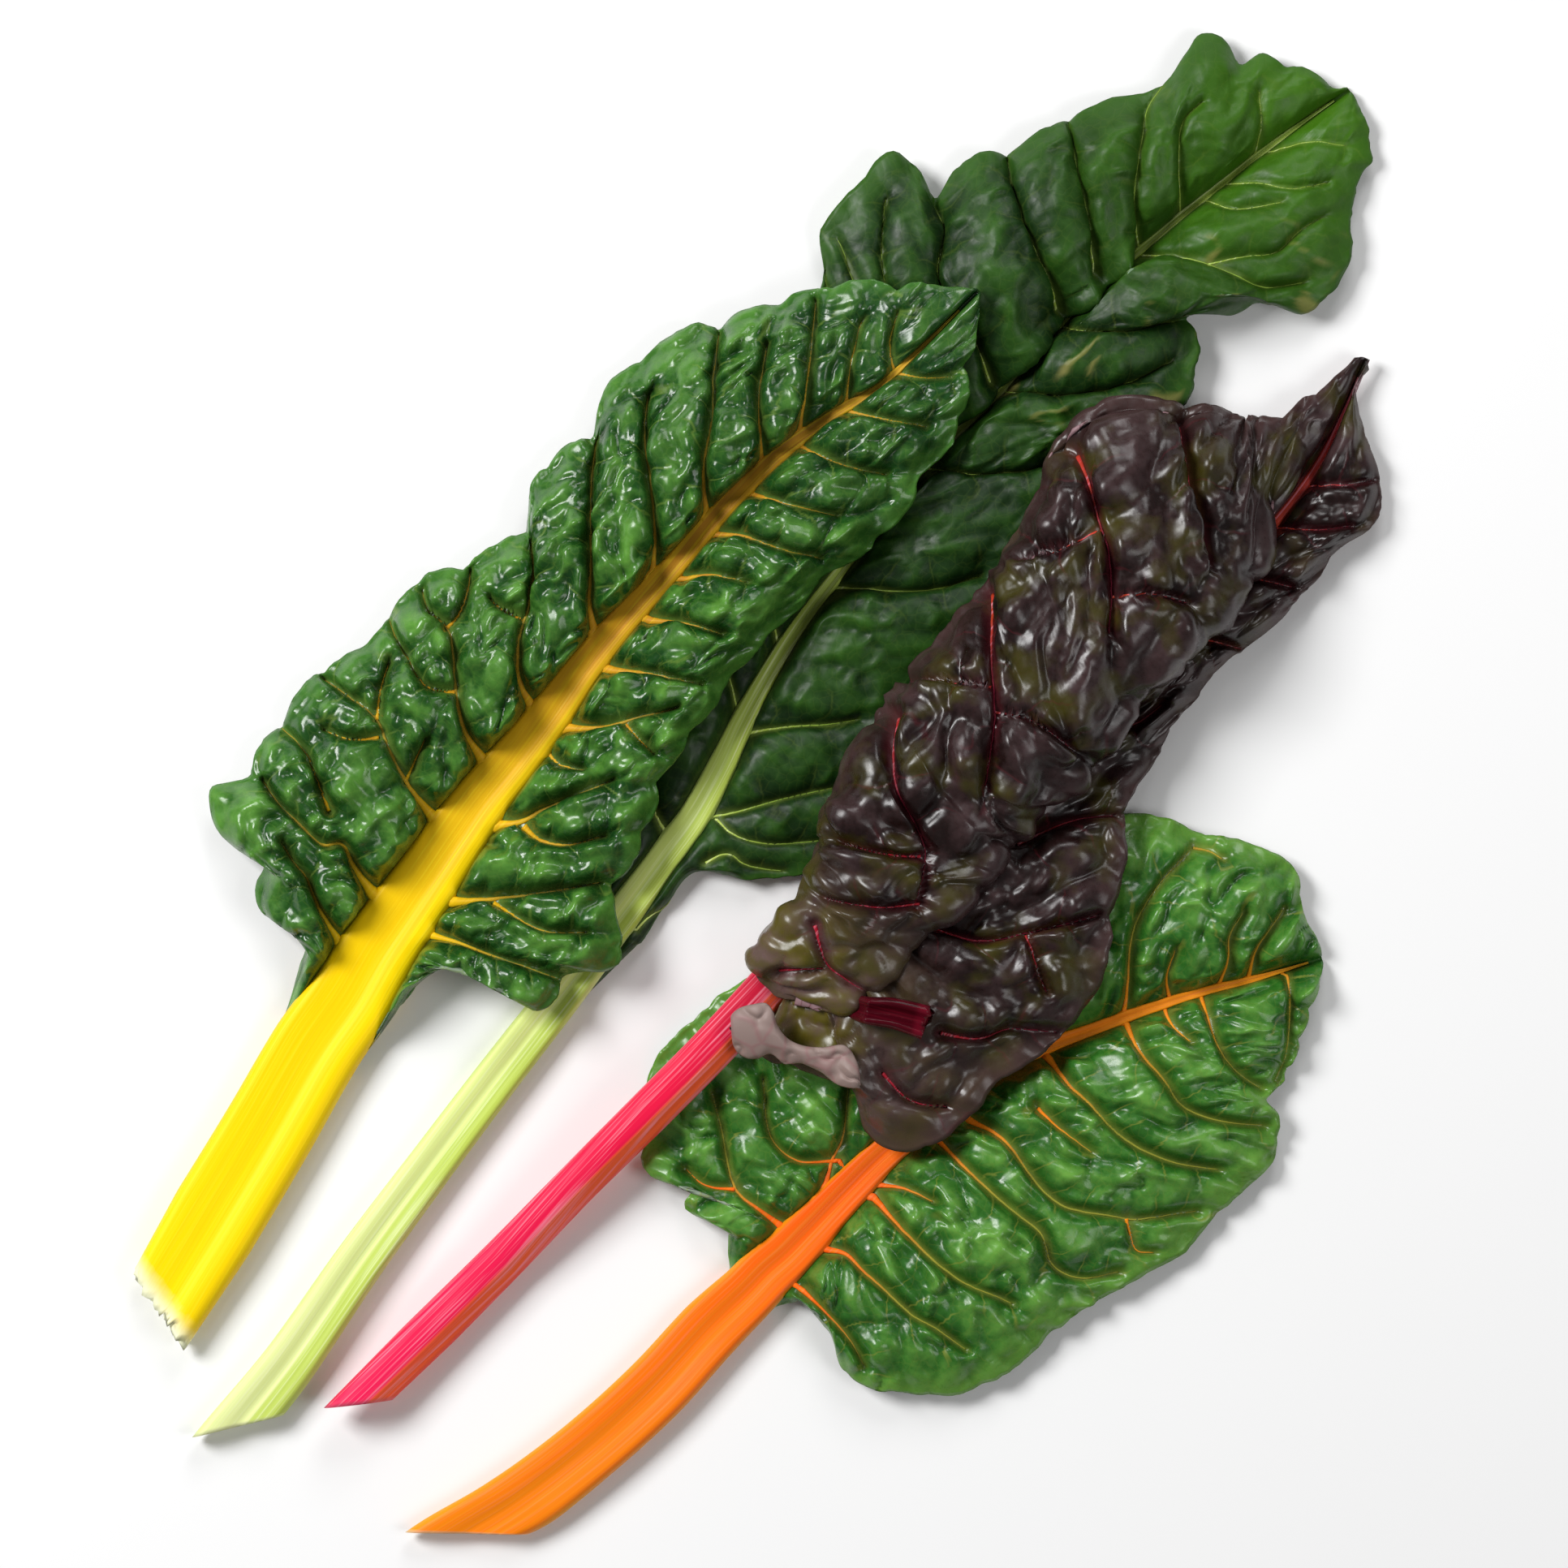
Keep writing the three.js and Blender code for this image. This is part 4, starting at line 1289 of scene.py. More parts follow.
        # depth and lift: how deep in a crease or how high on a crest a place lies, which the finish paints as
        # shade and light
        depth = arch * (0.45 + 0.55 * lerp(1.0, cushion, flank)) * (0.5 + 0.5 * fold)
        lift = 0.1 + 0.45 * depth + 0.2 * lump + 0.15 * ridge + 0.2 * crest
        patchy = smooth(grain.soft(x / 6, y / 6 + 23) * 2)
        values = {
            # beside the midrib lift is cut to 0.6: painted shade in the trench where the blade rises from it
            "lift": np.clip(lift, 0, 1) * lerp(0.6, 1.0, rooted),
            "edge": v + 0 * s,
            "vein": np.exp(-((veins.away / 0.9) ** 2)),
            "count": count,
            "flank": flank,
            "reach": np.clip(s / self.last, 0, 1),
            "worn": smooth((ridge - 0.8) / 0.18) * patchy * self._worn(s, side),
        }
        self.made[side.name] = made
        self.made[f"{side.name} plan"] = plain[..., :2]
        self.made[f"{side.name} share"] = v
        self.made[f"{side.name} rows"] = s
        return made, values

    def _worn(self, s: Array, side: Side) -> Array:
        """How far the ridges at rows s are dried, from 0 to 1."""
        start, stop = self.relief.worn
        return smooth((s - start) / 0.8) * smooth((stop - s) / 0.8) * (side is Side.RIGHT)

    def _blade(self) -> Piece:
        """The blade: both halves, joined past the end of the midrib.

        Returns:
            The blade's object.
        """
        s_line = self._row_numbers()
        left = self.columns * 2 if self.roll_line is not None else self.columns
        halves, tables = [], []
        for side, count in ((Side.LEFT, left), (Side.RIGHT, self.columns)):
            v_line = np.linspace(0.0, 1.0, count) ** CROWDING
            s, v = np.meshgrid(s_line, v_line, indexing="ij")
            made, values = self._half(side, s, v)
            flip = slice(None, None, -1) if side is Side.LEFT else slice(None)
            halves.append(made[:, flip])
            tables.append({key: value[:, flip] for key, value in values.items()})
        grid = np.concatenate(halves, axis=1)
        drop = np.zeros((self.rows - 1, grid.shape[1] - 1), dtype=bool)
        drop[: int(np.searchsorted(s_line, self.last - 0.9)), left - 1] = True
        made = grid_object(f"{self.name}_leaf_blade", grid, drop=drop)
        joint = {key: np.concatenate([table[key] for table in tables], axis=1) for key in tables[0]}
        put_values(made, **joint)
        for skin in self.blade_finish.build():
            made.data.materials.append(skin)
        thicken(made)
        self.made["all"] = grid
        return made

    # ---------------- side veins

    def _tube(self, path: Array, normal: Array, radius: Array, sides: int) -> Piece:
        """A tapered tube along a path, flattened against the surface it lies on.

        Args:
            path: its centre line, shaped (points, 3).
            normal: the surface's normal at each point.
            radius: its radius at each point.
            sides: how many sides it has.

        Returns:
            The tube's object.
        """
        ahead = np.gradient(path, axis=0)
        ahead /= np.maximum(np.linalg.norm(ahead, axis=1, keepdims=True), LEAST)
        side = np.cross(ahead, normal)
        side /= np.maximum(np.linalg.norm(side, axis=1, keepdims=True), LEAST)
        up = np.cross(side, ahead)
        turn = np.linspace(0, 2 * math.pi, sides + 1)
        turn[-1] = 0.0
        ring = side[:, None] * np.cos(turn)[None, :, None]
        ring = ring + up[:, None] * np.sin(turn)[None, :, None] * VEIN_SQUASH
        tube = path[:, None] + ring * radius[:, None, None]
        tube[..., 2] = np.maximum(tube[..., 2], FLOOR_GAP)
        return grid_object("vein", tube, closed=True)

    def _side_veins(self, side: Side) -> list[Piece]:
        """The side veins of one half, lying in their valleys.

        Args:
            side: which half.

        Returns:
            One tube for each vein.
        """
        grid, plan = self.made[side.name], self.made[f"{side.name} plan"]
        up = grid if side is Side.RIGHT else grid[:, ::-1]
        normal = softened(normals_of(up), 2)
        normal = normal if side is Side.RIGHT else normal[:, ::-1]
        keep = np.ones(grid.shape[:2], dtype=bool)
        if side is Side.LEFT and self.roll_line is not None:
            keep = (self.made["LEFT share"] > TURNED_BACK) | (self.made["LEFT rows"] > self.open_row)
        finder = Nearest(plan[keep])
        values = np.concatenate([grid[keep], normal[keep]], axis=1)
        line, _ = self._centre_samples()
        tubes = []
        for (width, _), path in zip(self.veins[side], self._vein_points(side)):
            found = finder.blend(path, values)
            found = softened(found[:, None], 1)[:, 0]
            radius = self._vein_radius(width, path)
            away = np.linalg.norm(line - path[0], axis=1)
            u = float(away.argmin() / (len(line) - 1) * (self.first + self.last))
            stalk = float(along(self.widths, np.array(u)))
            rooted = away.min() < stalk / 2 + 5.0 and not (side is Side.LEFT and self.roll_line)
            points = found[:, :3] + found[:, 3:] * (radius * 0.3)[:, None]
            normals = found[:, 3:]
            if rooted:
                start = self._station(np.array([u]))
                place = start[0][0] + start[2][0] * side.value * stalk * 0.3 - start[1][0] * 1.5
                height = float(along(self.levels, np.array(u)) + 0.6 * along(self.depths, np.array(u)))
                points = np.vstack([[*place, height], points])
                normals = np.vstack([[0, 0, 1], normals])
                radius = np.append(radius[0] * 1.1, radius)
            tube = self._tube(points, normals, radius, 8 if width > 1 else 6)
            spots = np.array([vert.co[:2] for vert in tube.data.vertices]) / MM
            reach = np.linalg.norm(spots - path[0], axis=1)
            put_values(tube, fade=smooth(reach / VEIN_FADE))
            tubes.append(tube)
        return tubes

    def _veins(self) -> Piece:
        """All side veins in one piece.

        Returns:
            The veins' object.
        """
        tubes = [tube for side in Side for tube in self._side_veins(side)]
        made = joined(f"{self.name}_side_veins", tubes)
        places = np.array([vert.co[:] for vert in made.data.vertices]) / MM
        line, share = self._centre_samples()
        away = np.linalg.norm(places[:, None, :2] - line[None], axis=-1)
        run = share[away.argmin(axis=1)] + 0.12 * smooth(away.min(axis=1) / 25)
        middle, uncut = np.full(len(places), 0.5), np.zeros(len(places))
        put_values(made, run=np.clip(run, 0, 1), across=middle, cut=uncut)
        put_values(made, length_mm=places[:, 1], width_mm=places[:, 0])
        made.data.materials.append(self.stalk_finish.build())
        return made

    def _centre_samples(self) -> tuple[Array, Array]:
        """Evenly numbered points of the stalk's centre line.

        Returns:
            The points, and their shares of its length.
        """
        points = self.centre.at(np.linspace(0, self.first + self.last, CENTRE_SAMPLES))
        gone = np.concatenate([[0], np.cumsum(np.linalg.norm(np.diff(points, axis=0), axis=1))])
        return points, gone / gone[-1]

    # ---------------- the stalk

    def _outline(self, count: int) -> Array:
        """The stalk's section as (share of width, share of depth) round its whole outline.

        Args:
            count: how many sides it has.

        Returns:
            The outline, closed, shaped (count + 1, 2).
        """
        lower = [(0.42, 0.2), (0.22, 0.02), (-0.22, 0.02), (-0.42, 0.2)]
        corners = np.array([*self.top, *lower])
        wrapped = np.vstack([corners[-1], corners, corners[:2]])
        return spline(wrapped, 1 + np.linspace(0, len(corners), count + 1))

    def _stalk(self) -> Piece:
        """The petiole and midrib: one long ribbed piece, cut at its lower end.

        Returns:
            The stalk's object.
        """
        outline = self._outline(STALK_SIDES)
        reach = self.first + self.last - 0.2
        u = np.linspace(0.0, reach, STALK_RINGS)
        centre, heading, right = self._station(u)
        width, depth = along(self.widths, u), along(self.depths, u)
        taper = smooth((reach - u) / 1.1 + 0.08)
        width, depth = width * (0.3 + 0.7 * taper), depth * (0.8 + 0.2 * taper)
        gone = np.concatenate([[0], np.cumsum(np.linalg.norm(np.diff(centre, axis=0), axis=1))])
        slant = self.slant * np.maximum(0.0, 1 - gone / CUT_REACH)
        x, z = outline[:, 0], outline[:, 1]
        count = 2 * math.pi * self.ridge_count
        ribs = 0.5 * np.cos(count * (x + 0.5)) + 0.35 * np.cos(2.3 * count * (x + 0.5) + 1.0)
        shallow = self.ribbing * smooth((z - 0.35) / 0.3) * ribs
        ring = centre[:, None] + right[:, None] * (x[None] * width[:, None])[..., None]
        ring = ring + heading[:, None] * (x[None] * (width * slant)[:, None])[..., None]
        rise = along(self.levels, u)[:, None] + z[None] * depth[:, None]
        rise = rise + shallow[None] * smooth(width / 12.0)[:, None]
        if self.end is CutEnd.TORN:
            tear = self.grain.soft(x * 22.0, z * 3.0) * 2.4 + self.grain.soft(x * 55.0, z * 5 + 9) * 1.6
            ragged = tear[None] * smooth(1 - gone / TEAR_REACH)[:, None]
            ring = ring + heading[:, None] * ragged[..., None]
        grid = np.concatenate([ring, np.maximum(rise, 0.0)[..., None]], axis=-1)
        grid = self._with_cut_face(grid, heading[0])
        made = grid_object(f"{self.name}_stalk_rib", grid, closed=True)
        self._stalk_values(made)
        made.data.materials.append(self.stalk_finish.build())
        self.made["stalk"] = grid
        return made

    def _with_cut_face(self, grid: Array, heading: Array) -> Array:
        """Adds rings that close the cut end with a slightly hollow face.

        Args:
            grid: the stalk's rings.
            heading: its direction at the cut.

        Returns:
            The rings with those of the face.
        """
        middle = grid[0].mean(axis=0)
        inward = np.append(heading, 0.0)
        faces = [
            lerp(middle, grid[0], share) + inward * (1 - share) * sink
            for share, sink in ((0.12, 1.4), (0.45, 1.2), (0.8, 0.5))
        ]
        return np.concatenate([np.array(faces), grid], axis=0)

    def _stalk_values(self, made: Piece) -> None:
        """Stores where each point is along and across the stalk.

        Args:
            made: the stalk's object.
        """
        places = np.array([vert.co[:] for vert in made.data.vertices]) / MM
        line, share = self._centre_samples()
        nearest = np.linalg.norm(places[:, None, :2] - line[None], axis=-1).argmin(axis=1)
        total = np.linalg.norm(np.diff(line, axis=0), axis=1).sum()
        tangent = np.gradient(line, axis=0)
        tangent /= np.linalg.norm(tangent, axis=1, keepdims=True)
        off = places[:, :2] - line[nearest]
        lateral = off[:, 0] * tangent[nearest, 1] - off[:, 1] * tangent[nearest, 0]
        width = along(self.widths, np.linspace(0, self.first + self.last, len(line))[nearest])
        put_values(made, run=share[nearest], across=np.clip(lateral / width + 0.5, 0, 1))
        put_values(made, length_mm=share[nearest] * total, width_mm=lateral + 0.35 * places[:, 2])
        before = (places[:, :2] - line[0]) @ tangent[0] - lateral * self.slant
        put_values(made, cut=smooth(1 - (before + 1.0) / CUT_DEPTH[self.end]))

    # ---------------- the whole leaf

    def build(self) -> None:
        """Builds and registers the leaf's pieces."""
        pieces = ((self._blade(), "blade"), (self._veins(), "stalk"), (self._stalk(), "stalk"))
        for piece, node in pieces:
            register(piece, f"{self.name}_{node}")

    def cloud(self) -> list[Array]:
        """Points of the leaf for a bed."""
        return [self.made["all"].reshape(-1, 3), self.made["stalk"].reshape(-1, 3)]


# ---------------- loose ends


@dataclass
class TurnedLobe:
    """A lobe at a blade's base that is turned over, so that its pale underside shows."""

    name: str
    node: str
    far: Sequence[tuple[float, float]]
    near: Sequence[tuple[float, float]]
    finish: BladeFinish
    bed: Bed
    dome: float = 2.5  # mm, how far its middle arches up
    ragged: float = 0.8  # mm, unevenness of its near edge
    ripple: float = 1.2  # mm, height of its puckers
    rows: int = 46
    columns: int = 90
    seed: int = 21

    def build(self) -> None:
        """Builds and registers the lobe, draped over what lies beneath it."""
        share, v = np.linspace(0, 1, self.columns), np.linspace(0, 1, self.rows)[:, None]
        near = Course(self.near).at(share * (len(self.near) - 1))
        far = Course(self.far).at(share * (len(self.far) - 1))
        plan = lerp(near[None], far[None], v[..., None])
        grain = Grain(self.seed)
        outward = smooth((0.3 - v) / 0.3) * grain.soft(share[None] * 9, v * 0.5 + 3)
        plan = plan + outward[..., None] * self.ragged * np.array([1.0, -1.0])
        x, y = plan[..., 0], plan[..., 1]
        arch = (4 * v * (1 - v)) ** 0.6 * (4 * share * (1 - share)) ** 0.4
        height = self.bed.at(x, y) + self.dome * arch + self.ripple * grain.folds(x / 7, y / 6)
        made = grid_object(self.name, np.concatenate([plan, height[..., None]], axis=-1))
        upper, lower = self.finish.build()
        made.data.materials.append(lower)
        made.data.materials.append(upper)
        thicken(made)
        register(made, self.node)


@dataclass
class TornStub:
    """A short end of stalk, torn off and lying on a blade."""

    name: str
    node: str
    path: Sequence[tuple[float, float]]
    width: float
    depth: float
    finish: StalkFinish
    bed: Bed
    seed: int = 23
    rings: int = 48
    sides: int = 56
    curl: float = 1.5  # mm, how unevenly it curls up
    sunk: float = 7.0  # mm, how far its near end is sunk into the blade
    pale_from: float = 16.5  # mm along it where the torn tone begins

    def build(self) -> None:
        """Builds and registers the stub, torn ragged at its far end."""
        course, grain = Course(self.path), Grain(self.seed)
        u = np.linspace(0, len(self.path) - 1, self.rings)
        wrapped = np.array([STUB[-1], *STUB, *STUB[:2]])
        outline = spline(wrapped, 1 + np.linspace(0, len(STUB), self.sides + 1))
        x, z = outline[:, 0], outline[:, 1]
        point, heading = course.at(u), course.heading(u)
        right = np.stack([heading[:, 1], -heading[:, 0]], axis=-1)
        share = u / u[-1]
        width = self.width * (0.8 + 0.35 * share)
        tear = 1.6 * grain.soft(x * 9, z * 4) + 0.8 * grain.soft(x * 31, z * 7)
        ring = point[:, None] + right[:, None] * (x[None] * width[:, None])[..., None]
        ring = ring + heading[:, None] * (tear[None] * smooth((share - 0.7) / 0.3)[:, None])[..., None]
        base = self.bed.at(point[:, 0], point[:, 1])
        base = np.full(len(u), base.mean())
        curl = self.curl * grain.soft(x * 3 + 5, z)[None] * share[:, None]
        sunk = self.sunk * smooth(1 - share / 0.35)
        height = base[:, None] + z[None] * self.depth + curl - sunk[:, None]
        made = grid_object(self.name, np.concatenate([ring, height[..., None]], axis=-1), closed=True)
        places = np.array([vert.co[:] for vert in made.data.vertices]) / MM
        off = places[:, :2] - point[0]
        length = off @ heading[0]
        lateral = off @ right[0]
        across = np.clip(lateral / self.width + 0.5, 0, 1)
        pale = smooth((length - self.pale_from) / 2.0) * 0.4
        put_values(made, run=np.full(len(places), 0.5), across=across, cut=pale)
        put_values(made, length_mm=length, width_mm=lateral)
        made.data.materials.append(self.finish.build())
        register(made, self.node)


# ---------------- the four leaves

GREEN_PETIOLE = (
    (-26.5, -235, 15.5, 7),
    (-27, -212, 14.5, 7.5),
    (-30, -179, 13.5, 7.5),
    (-32, -146, 12.5, 7.2),
    (-33.5, -116, 12, 7),
    (-34.5, -89, 11.5, 6.5),
)
GREEN_RIBS = (
    (-35.5, -70, 11, 6.2, -44.5, -68, 4, -26.5, -65, 4),
    (-37, -44.5, 9.5, 5.6, -48, -52, 4, -27.5, -41, 4),
    (-38, -29.5, 9, 5.2, -56, -35.5, 4, -12.5, -32.5, 4),
    (-41, -14.5, 8.5, 4.8, -68, -13, 4, 0, -11.5, 4),
    (-45, 0.5, 6.5, 4.2, -78.5, 9, 4, -3, 14.5, 4),
    (-49, 23.5, 5, 3.6, -89, 35, 4, -6, 47, 4),
    (-50.5, 46.5, 4, 3.2, -96.5, 64.5, 4, -10.5, 84.5, 4),
    (-51.5, 81.5, 3.4, 2.8, -106.5, 104, 5, -16.5, 122.5, 5),
    (-49, 109, 3.2, 2.6, -97, 140.5, 8, -7.5, 141.5, 7),
    (-48.5, 132, 3, 2.4, -89, 162, 10, -21.5, 160, 9),
    (-46, 153.5, 2.8, 2.3, -82, 181.5, 10, -8.5, 174, 10),
    (-43, 171.5, 2.6, 2.2, -69, 204, 9, 4, 188, 9),
    (-39.5, 190, 2.4, 2.1, -56.5, 221.5, 8, -6.5, 211, 8),
    (-35, 211, 2.2, 2, -44, 231.5, 5, -16, 229, 5),
    (-28.5, 235.5, 2, 1.8, -32.5, 232.8, 2, -24.5, 234, 2),
)
GREEN_LOBES = {
    Side.LEFT: (
        (7.2, -114, 112.5),
        (7.45, -114.5, 128),
        (7.67, -112.5, 141.5),
        (7.85, -105, 142.5),
        (8.2, -97, 148),
        (8.6, -94, 157),
        (11.25, -69, 213),
        (11.5, -69.5, 219),
        (11.75, -64.5, 223.5),
        (12.33, -53.5, 226.5),
        (12.7, -46, 229),
        (13.5, -38, 233),
    ),
    Side.RIGHT: (
        (8.5, -14, 153.5),
        (9.5, -14, 166),
        (10.5, 1, 179),
        (11.33, 2, 196.5),
        (11.67, -2, 203.5),
        (12.4, -11.5, 220),
        (12.67, -11, 224),
        (13.5, -21.5, 232),
    ),
}
ORANGE_PETIOLE = (
    (39.5, -217.5, 17.5, 6),
    (45, -201.5, 18.5, 7),
    (50, -180, 18, 7.5),
    (53.5, -155, 18, 7.5),
    (54.5, -132.5, 17.5, 7.2),
    (56, -118.5, 16, 7),
)
ORANGE_RIBS = (
    (56.5, -111, 15.5, 6.8, 40, -111, 4, 69, -112, 4),
    (57.5, -104, 14.5, 6.4, 27, -113, 3, 80.5, -114.5, 7),
    (58, -96, 13.5, 6, 10, -111.5, 3, 90.5, -120, 8),
    (58.5, -87.5, 12, 5.6, -3, -93, 2.6, 107, -113, 9),
    (59, -79.5, 11, 5.2, -3.5, -72.5, 2.6, 121.5, -98, 10),
    (60, -67.5, 9.5, 4.6, 2, -50, 3, 126.5, -74.5, 10),
    (62.5, -53.5, 8, 4, 10.5, -24, 3.5, 134.5, -50, 10),
    (66, -37.5, 6, 3.4, 21.5, 0.5, 3.5, 140, -21.5, 9),
    (72.5, -20.5, 5, 3, 34.5, 26, 4, 139, 4.5, 9),
    (81.5, -4.5, 3.8, 2.6, 51, 47, 6, 130, 10.5, 8),
    (90.5, 11, 3.2, 2.3, 70, 55.5, 8, 129, 21, 7),
    (98.5, 23.5, 2.6, 2.1, 86.5, 63.5, 8, 127, 29.5, 6),
    (106.5, 34.5, 2.2, 2, 100.5, 60, 5, 123, 37, 4),
    (117, 50.5, 2, 1.8, 112.5, 53, 2, 119.5, 45.5, 2),
)
ORANGE_LOBES = {
    Side.LEFT: (
        (1.4, 26, -108.5),
        (1.6, 16, -112.5),
        (2.5, 6.5, -101.5),
        (11.5, 94, 63.5),
        (12.5, 105.5, 55.5),
    ),
    Side.RIGHT: (
        (5.5, 129, -62.5),
        (6.5, 139, -36.5),
        (7.6, 141.5, -1.5),
        (8.5, 135, 9.5),
        (9.4, 129.5, 15.5),
    ),
}
YELLOW_PETIOLE = (
    (-63, -224, 23, 8.5),
    (-67, -197, 25.5, 9),
    (-71.5, -168.5, 25, 9),
    (-76, -143, 24.5, 9),
)
YELLOW_RIBS = (
    (-77.5, -127, 23.5, 8.6, -97.5, -124.5, 5, -65, -119, 5),
    (-80, -113, 22, 8.2, -120, -115.5, 9, -55, -97, 7),
    (-81.5, -98.5, 20, 7.6, -138.5, -99.5, 10, -35.5, -84.5, 8),
    (-82.5, -89, 19, 7.2, -140.5, -82, 11, -28.5, -69.5, 8),
    (-84, -74.5, 17.5, 6.8, -141, -63, 11, -41, -58, 8),
    (-85, -63.5, 16, 6.2, -137.5, -41, 11, -44.5, -42, 8),
    (-85, -49.5, 14.5, 5.6, -131, -18.5, 11, -50, -29, 8),
    (-85.5, -32.5, 12.5, 5, -124, 0.5, 10, -52, -13, 8),
    (-86.5, -17, 10.5, 4.4, -130, 17, 10, -53.5, 6, 8),
    (-86.5, -2.5, 9, 3.8, -127, 31, 10, -53, 21, 8),
    (-85.5, 18.5, 7, 3.2, -129, 55, 9, -51.5, 41, 8),
    (-85, 39.5, 6, 2.8, -119, 77, 8, -47, 60, 7),
    (-83, 58.5, 5, 2.5, -110, 91, 7, -49, 80, 6),
    (-79.5, 75, 3.5, 2.2, -101.5, 104.5, 5, -51.5, 99, 5),
    (-74, 92, 2.4, 2, -88, 115, 4, -59, 111, 4),
    (-70, 128, 2, 1.8, -76, 124.5, 2, -64.5, 121.5, 2),
)
YELLOW_LOBES = {
    Side.LEFT: (
        (0.25, -103.5, -124.5),
        (0.5, -111, -125.5),
        (0.75, -117.5, -120),
        (1.25, -127, -117),
        (1.5, -135, -115.5),
        (1.75, -142.5, -109),
        (2.5, -139.5, -91),
        (4.6, -135.5, -52.5),
        (5.5, -135.5, -28),
        (6.6, -126, -8.5),
        (7.5, -129, 9.5),
        (9.4, -130.5, 42),
        (10.5, -125.5, 67),
    ),
    Side.RIGHT: (
        (0.25, -65.5, -113.5),
        (0.5, -64, -107.5),
        (0.75, -61, -102),
        (1.25, -45.5, -97),
        (1.5, -37.5, -98.5),
        (1.75, -34.5, -92.5),
        (2.5, -28.5, -76.5),
        (3.5, -37, -64.5),
    ),
}
RED_PETIOLE = (
    (-5.5, -209, 11.5, 8),
    (-3, -182.5, 12.5, 9),
    (-0.5, -154.5, 12, 9.5),
    (1.5, -126, 11.5, 9.5),
    (4, -97.5, 12, 9),
    (6, -73, 12, 8.5),
)
RED_RIBS = (
    (7, -50.5, 12, 7.6, 2, -48.5, 8, 15.5, -69, 3),
    (7, -45.5, 11.5, 7.2, -0.5, -44.5, 14, 25.5, -65, 4),
    (8, -39.5, 11.5, 6.8, -1.5, -38, 18, 42, -59.5, 6),
    (8.5, -34, 10.5, 6.4, -0.5, -29, 20, 54, -66.5, 8),
    (9.5, -29.5, 10, 6, -2.5, -20.5, 21, 67.5, -58.5, 8),
    (10, -25, 9, 5.6, -5, -11.5, 22, 72, -32.5, 8),
    (11, -18, 8.5, 5, -10, -0.5, 22, 76.5, -2, 8),
    (13.5, -3.5, 7, 4.4, -15.5, 26.5, 22, 66.5, 22.5, 8),
    (16, 17.5, 5.5, 3.8, -16, 62, 22, 50, 49, 7),
    (18.5, 41.5, 5, 3.3, -22.5, 100, 21, 46.5, 71.5, 6),
    (21.5, 65.5, 4, 2.9, -26, 124, 20, 45.5, 90, 6),
    (25, 88.5, 3.5, 2.6, -8.5, 139, 18, 50, 117.5, 6),
    (29, 111.5, 3, 2.4, 7, 147, 14, 49.5, 135, 6),
    (31.5, 134, 3.2, 2.4, 13.5, 155.5, 9, 52, 153, 6),
    (29.5, 156, 2.6, 2, 16.8, 166, 5, 35.5, 166.5, 5),
    (21.8, 182.5, 2, 1.8, 18.8, 180, 2, 25, 180.5, 2),
)
RED_LOBES = {
    Side.LEFT: (
        (14.35, 18.5, 172.5),
        (14.7, 19, 176.5),
    ),
    Side.RIGHT: (
        (14.15, 32, 169),
        (14.35, 26.5, 172.3),
        (14.7, 24.7, 176),
    ),
}
RED_ROLL = (
    (16, -48.5),
    (23, -44),
    (27, -36.5),
    (27.5, -29),
    (27, -22),
    (26.5, -15.5),
    (28, -5),
    (28.5, 9),
    (27.5, 25),
    (31, 50),
    (30, 73),
    (33, 98),
    (32, 122),
    (32.5, 136),
    (29.5, 156),
    (21.8, 182.5),
)
GREEN_LEFT = (
    (1.4, ((-43, 164.5), (-52.5, 172), (-61.5, 185.5), (-67, 195.5), (-68, 203))),
    (1.0, ((-42.5, 180.5), (-52, 190), (-57.5, 199), (-57, 206))),
    (0.9, ((-37, 205), (-41, 212), (-47, 218.5))),
    (0.8, ((-35, 208.5), (-34, 215.5), (-30.5, 229))),
    (1.4, ((-52, 138.5), (-57.5, 142.5), (-67, 147), (-79, 154), (-88, 161))),
    (1.0, ((-51, 152.5), (-62, 163.5), (-67.5, 167.5), (-74.5, 173.5), (-81, 179))),
    (1.4, ((-53, 112), (-67.5, 120), (-79, 122.5), (-83.5, 127), (-88.5, 135.5), (-94, 138))),
    (1.2, ((-54, 91), (-75, 102), (-95, 117), (-105.5, 131))),
    (1.2, ((-53, 69), (-78.5, 82), (-96, 96), (-105.5, 105.5))),
    (1.0, ((-75, 102), (-93.5, 106.5), (-108.5, 114.5))),
    (1.6, ((-42, -37.5), (-47.5, -35), (-54, -29.5))),
    (1.6, ((-46, -1), (-50, 2), (-57.5, 7.5))),
    (1.6, ((-49.5, 20), (-57, 25.5), (-68.5, 32.5))),
)
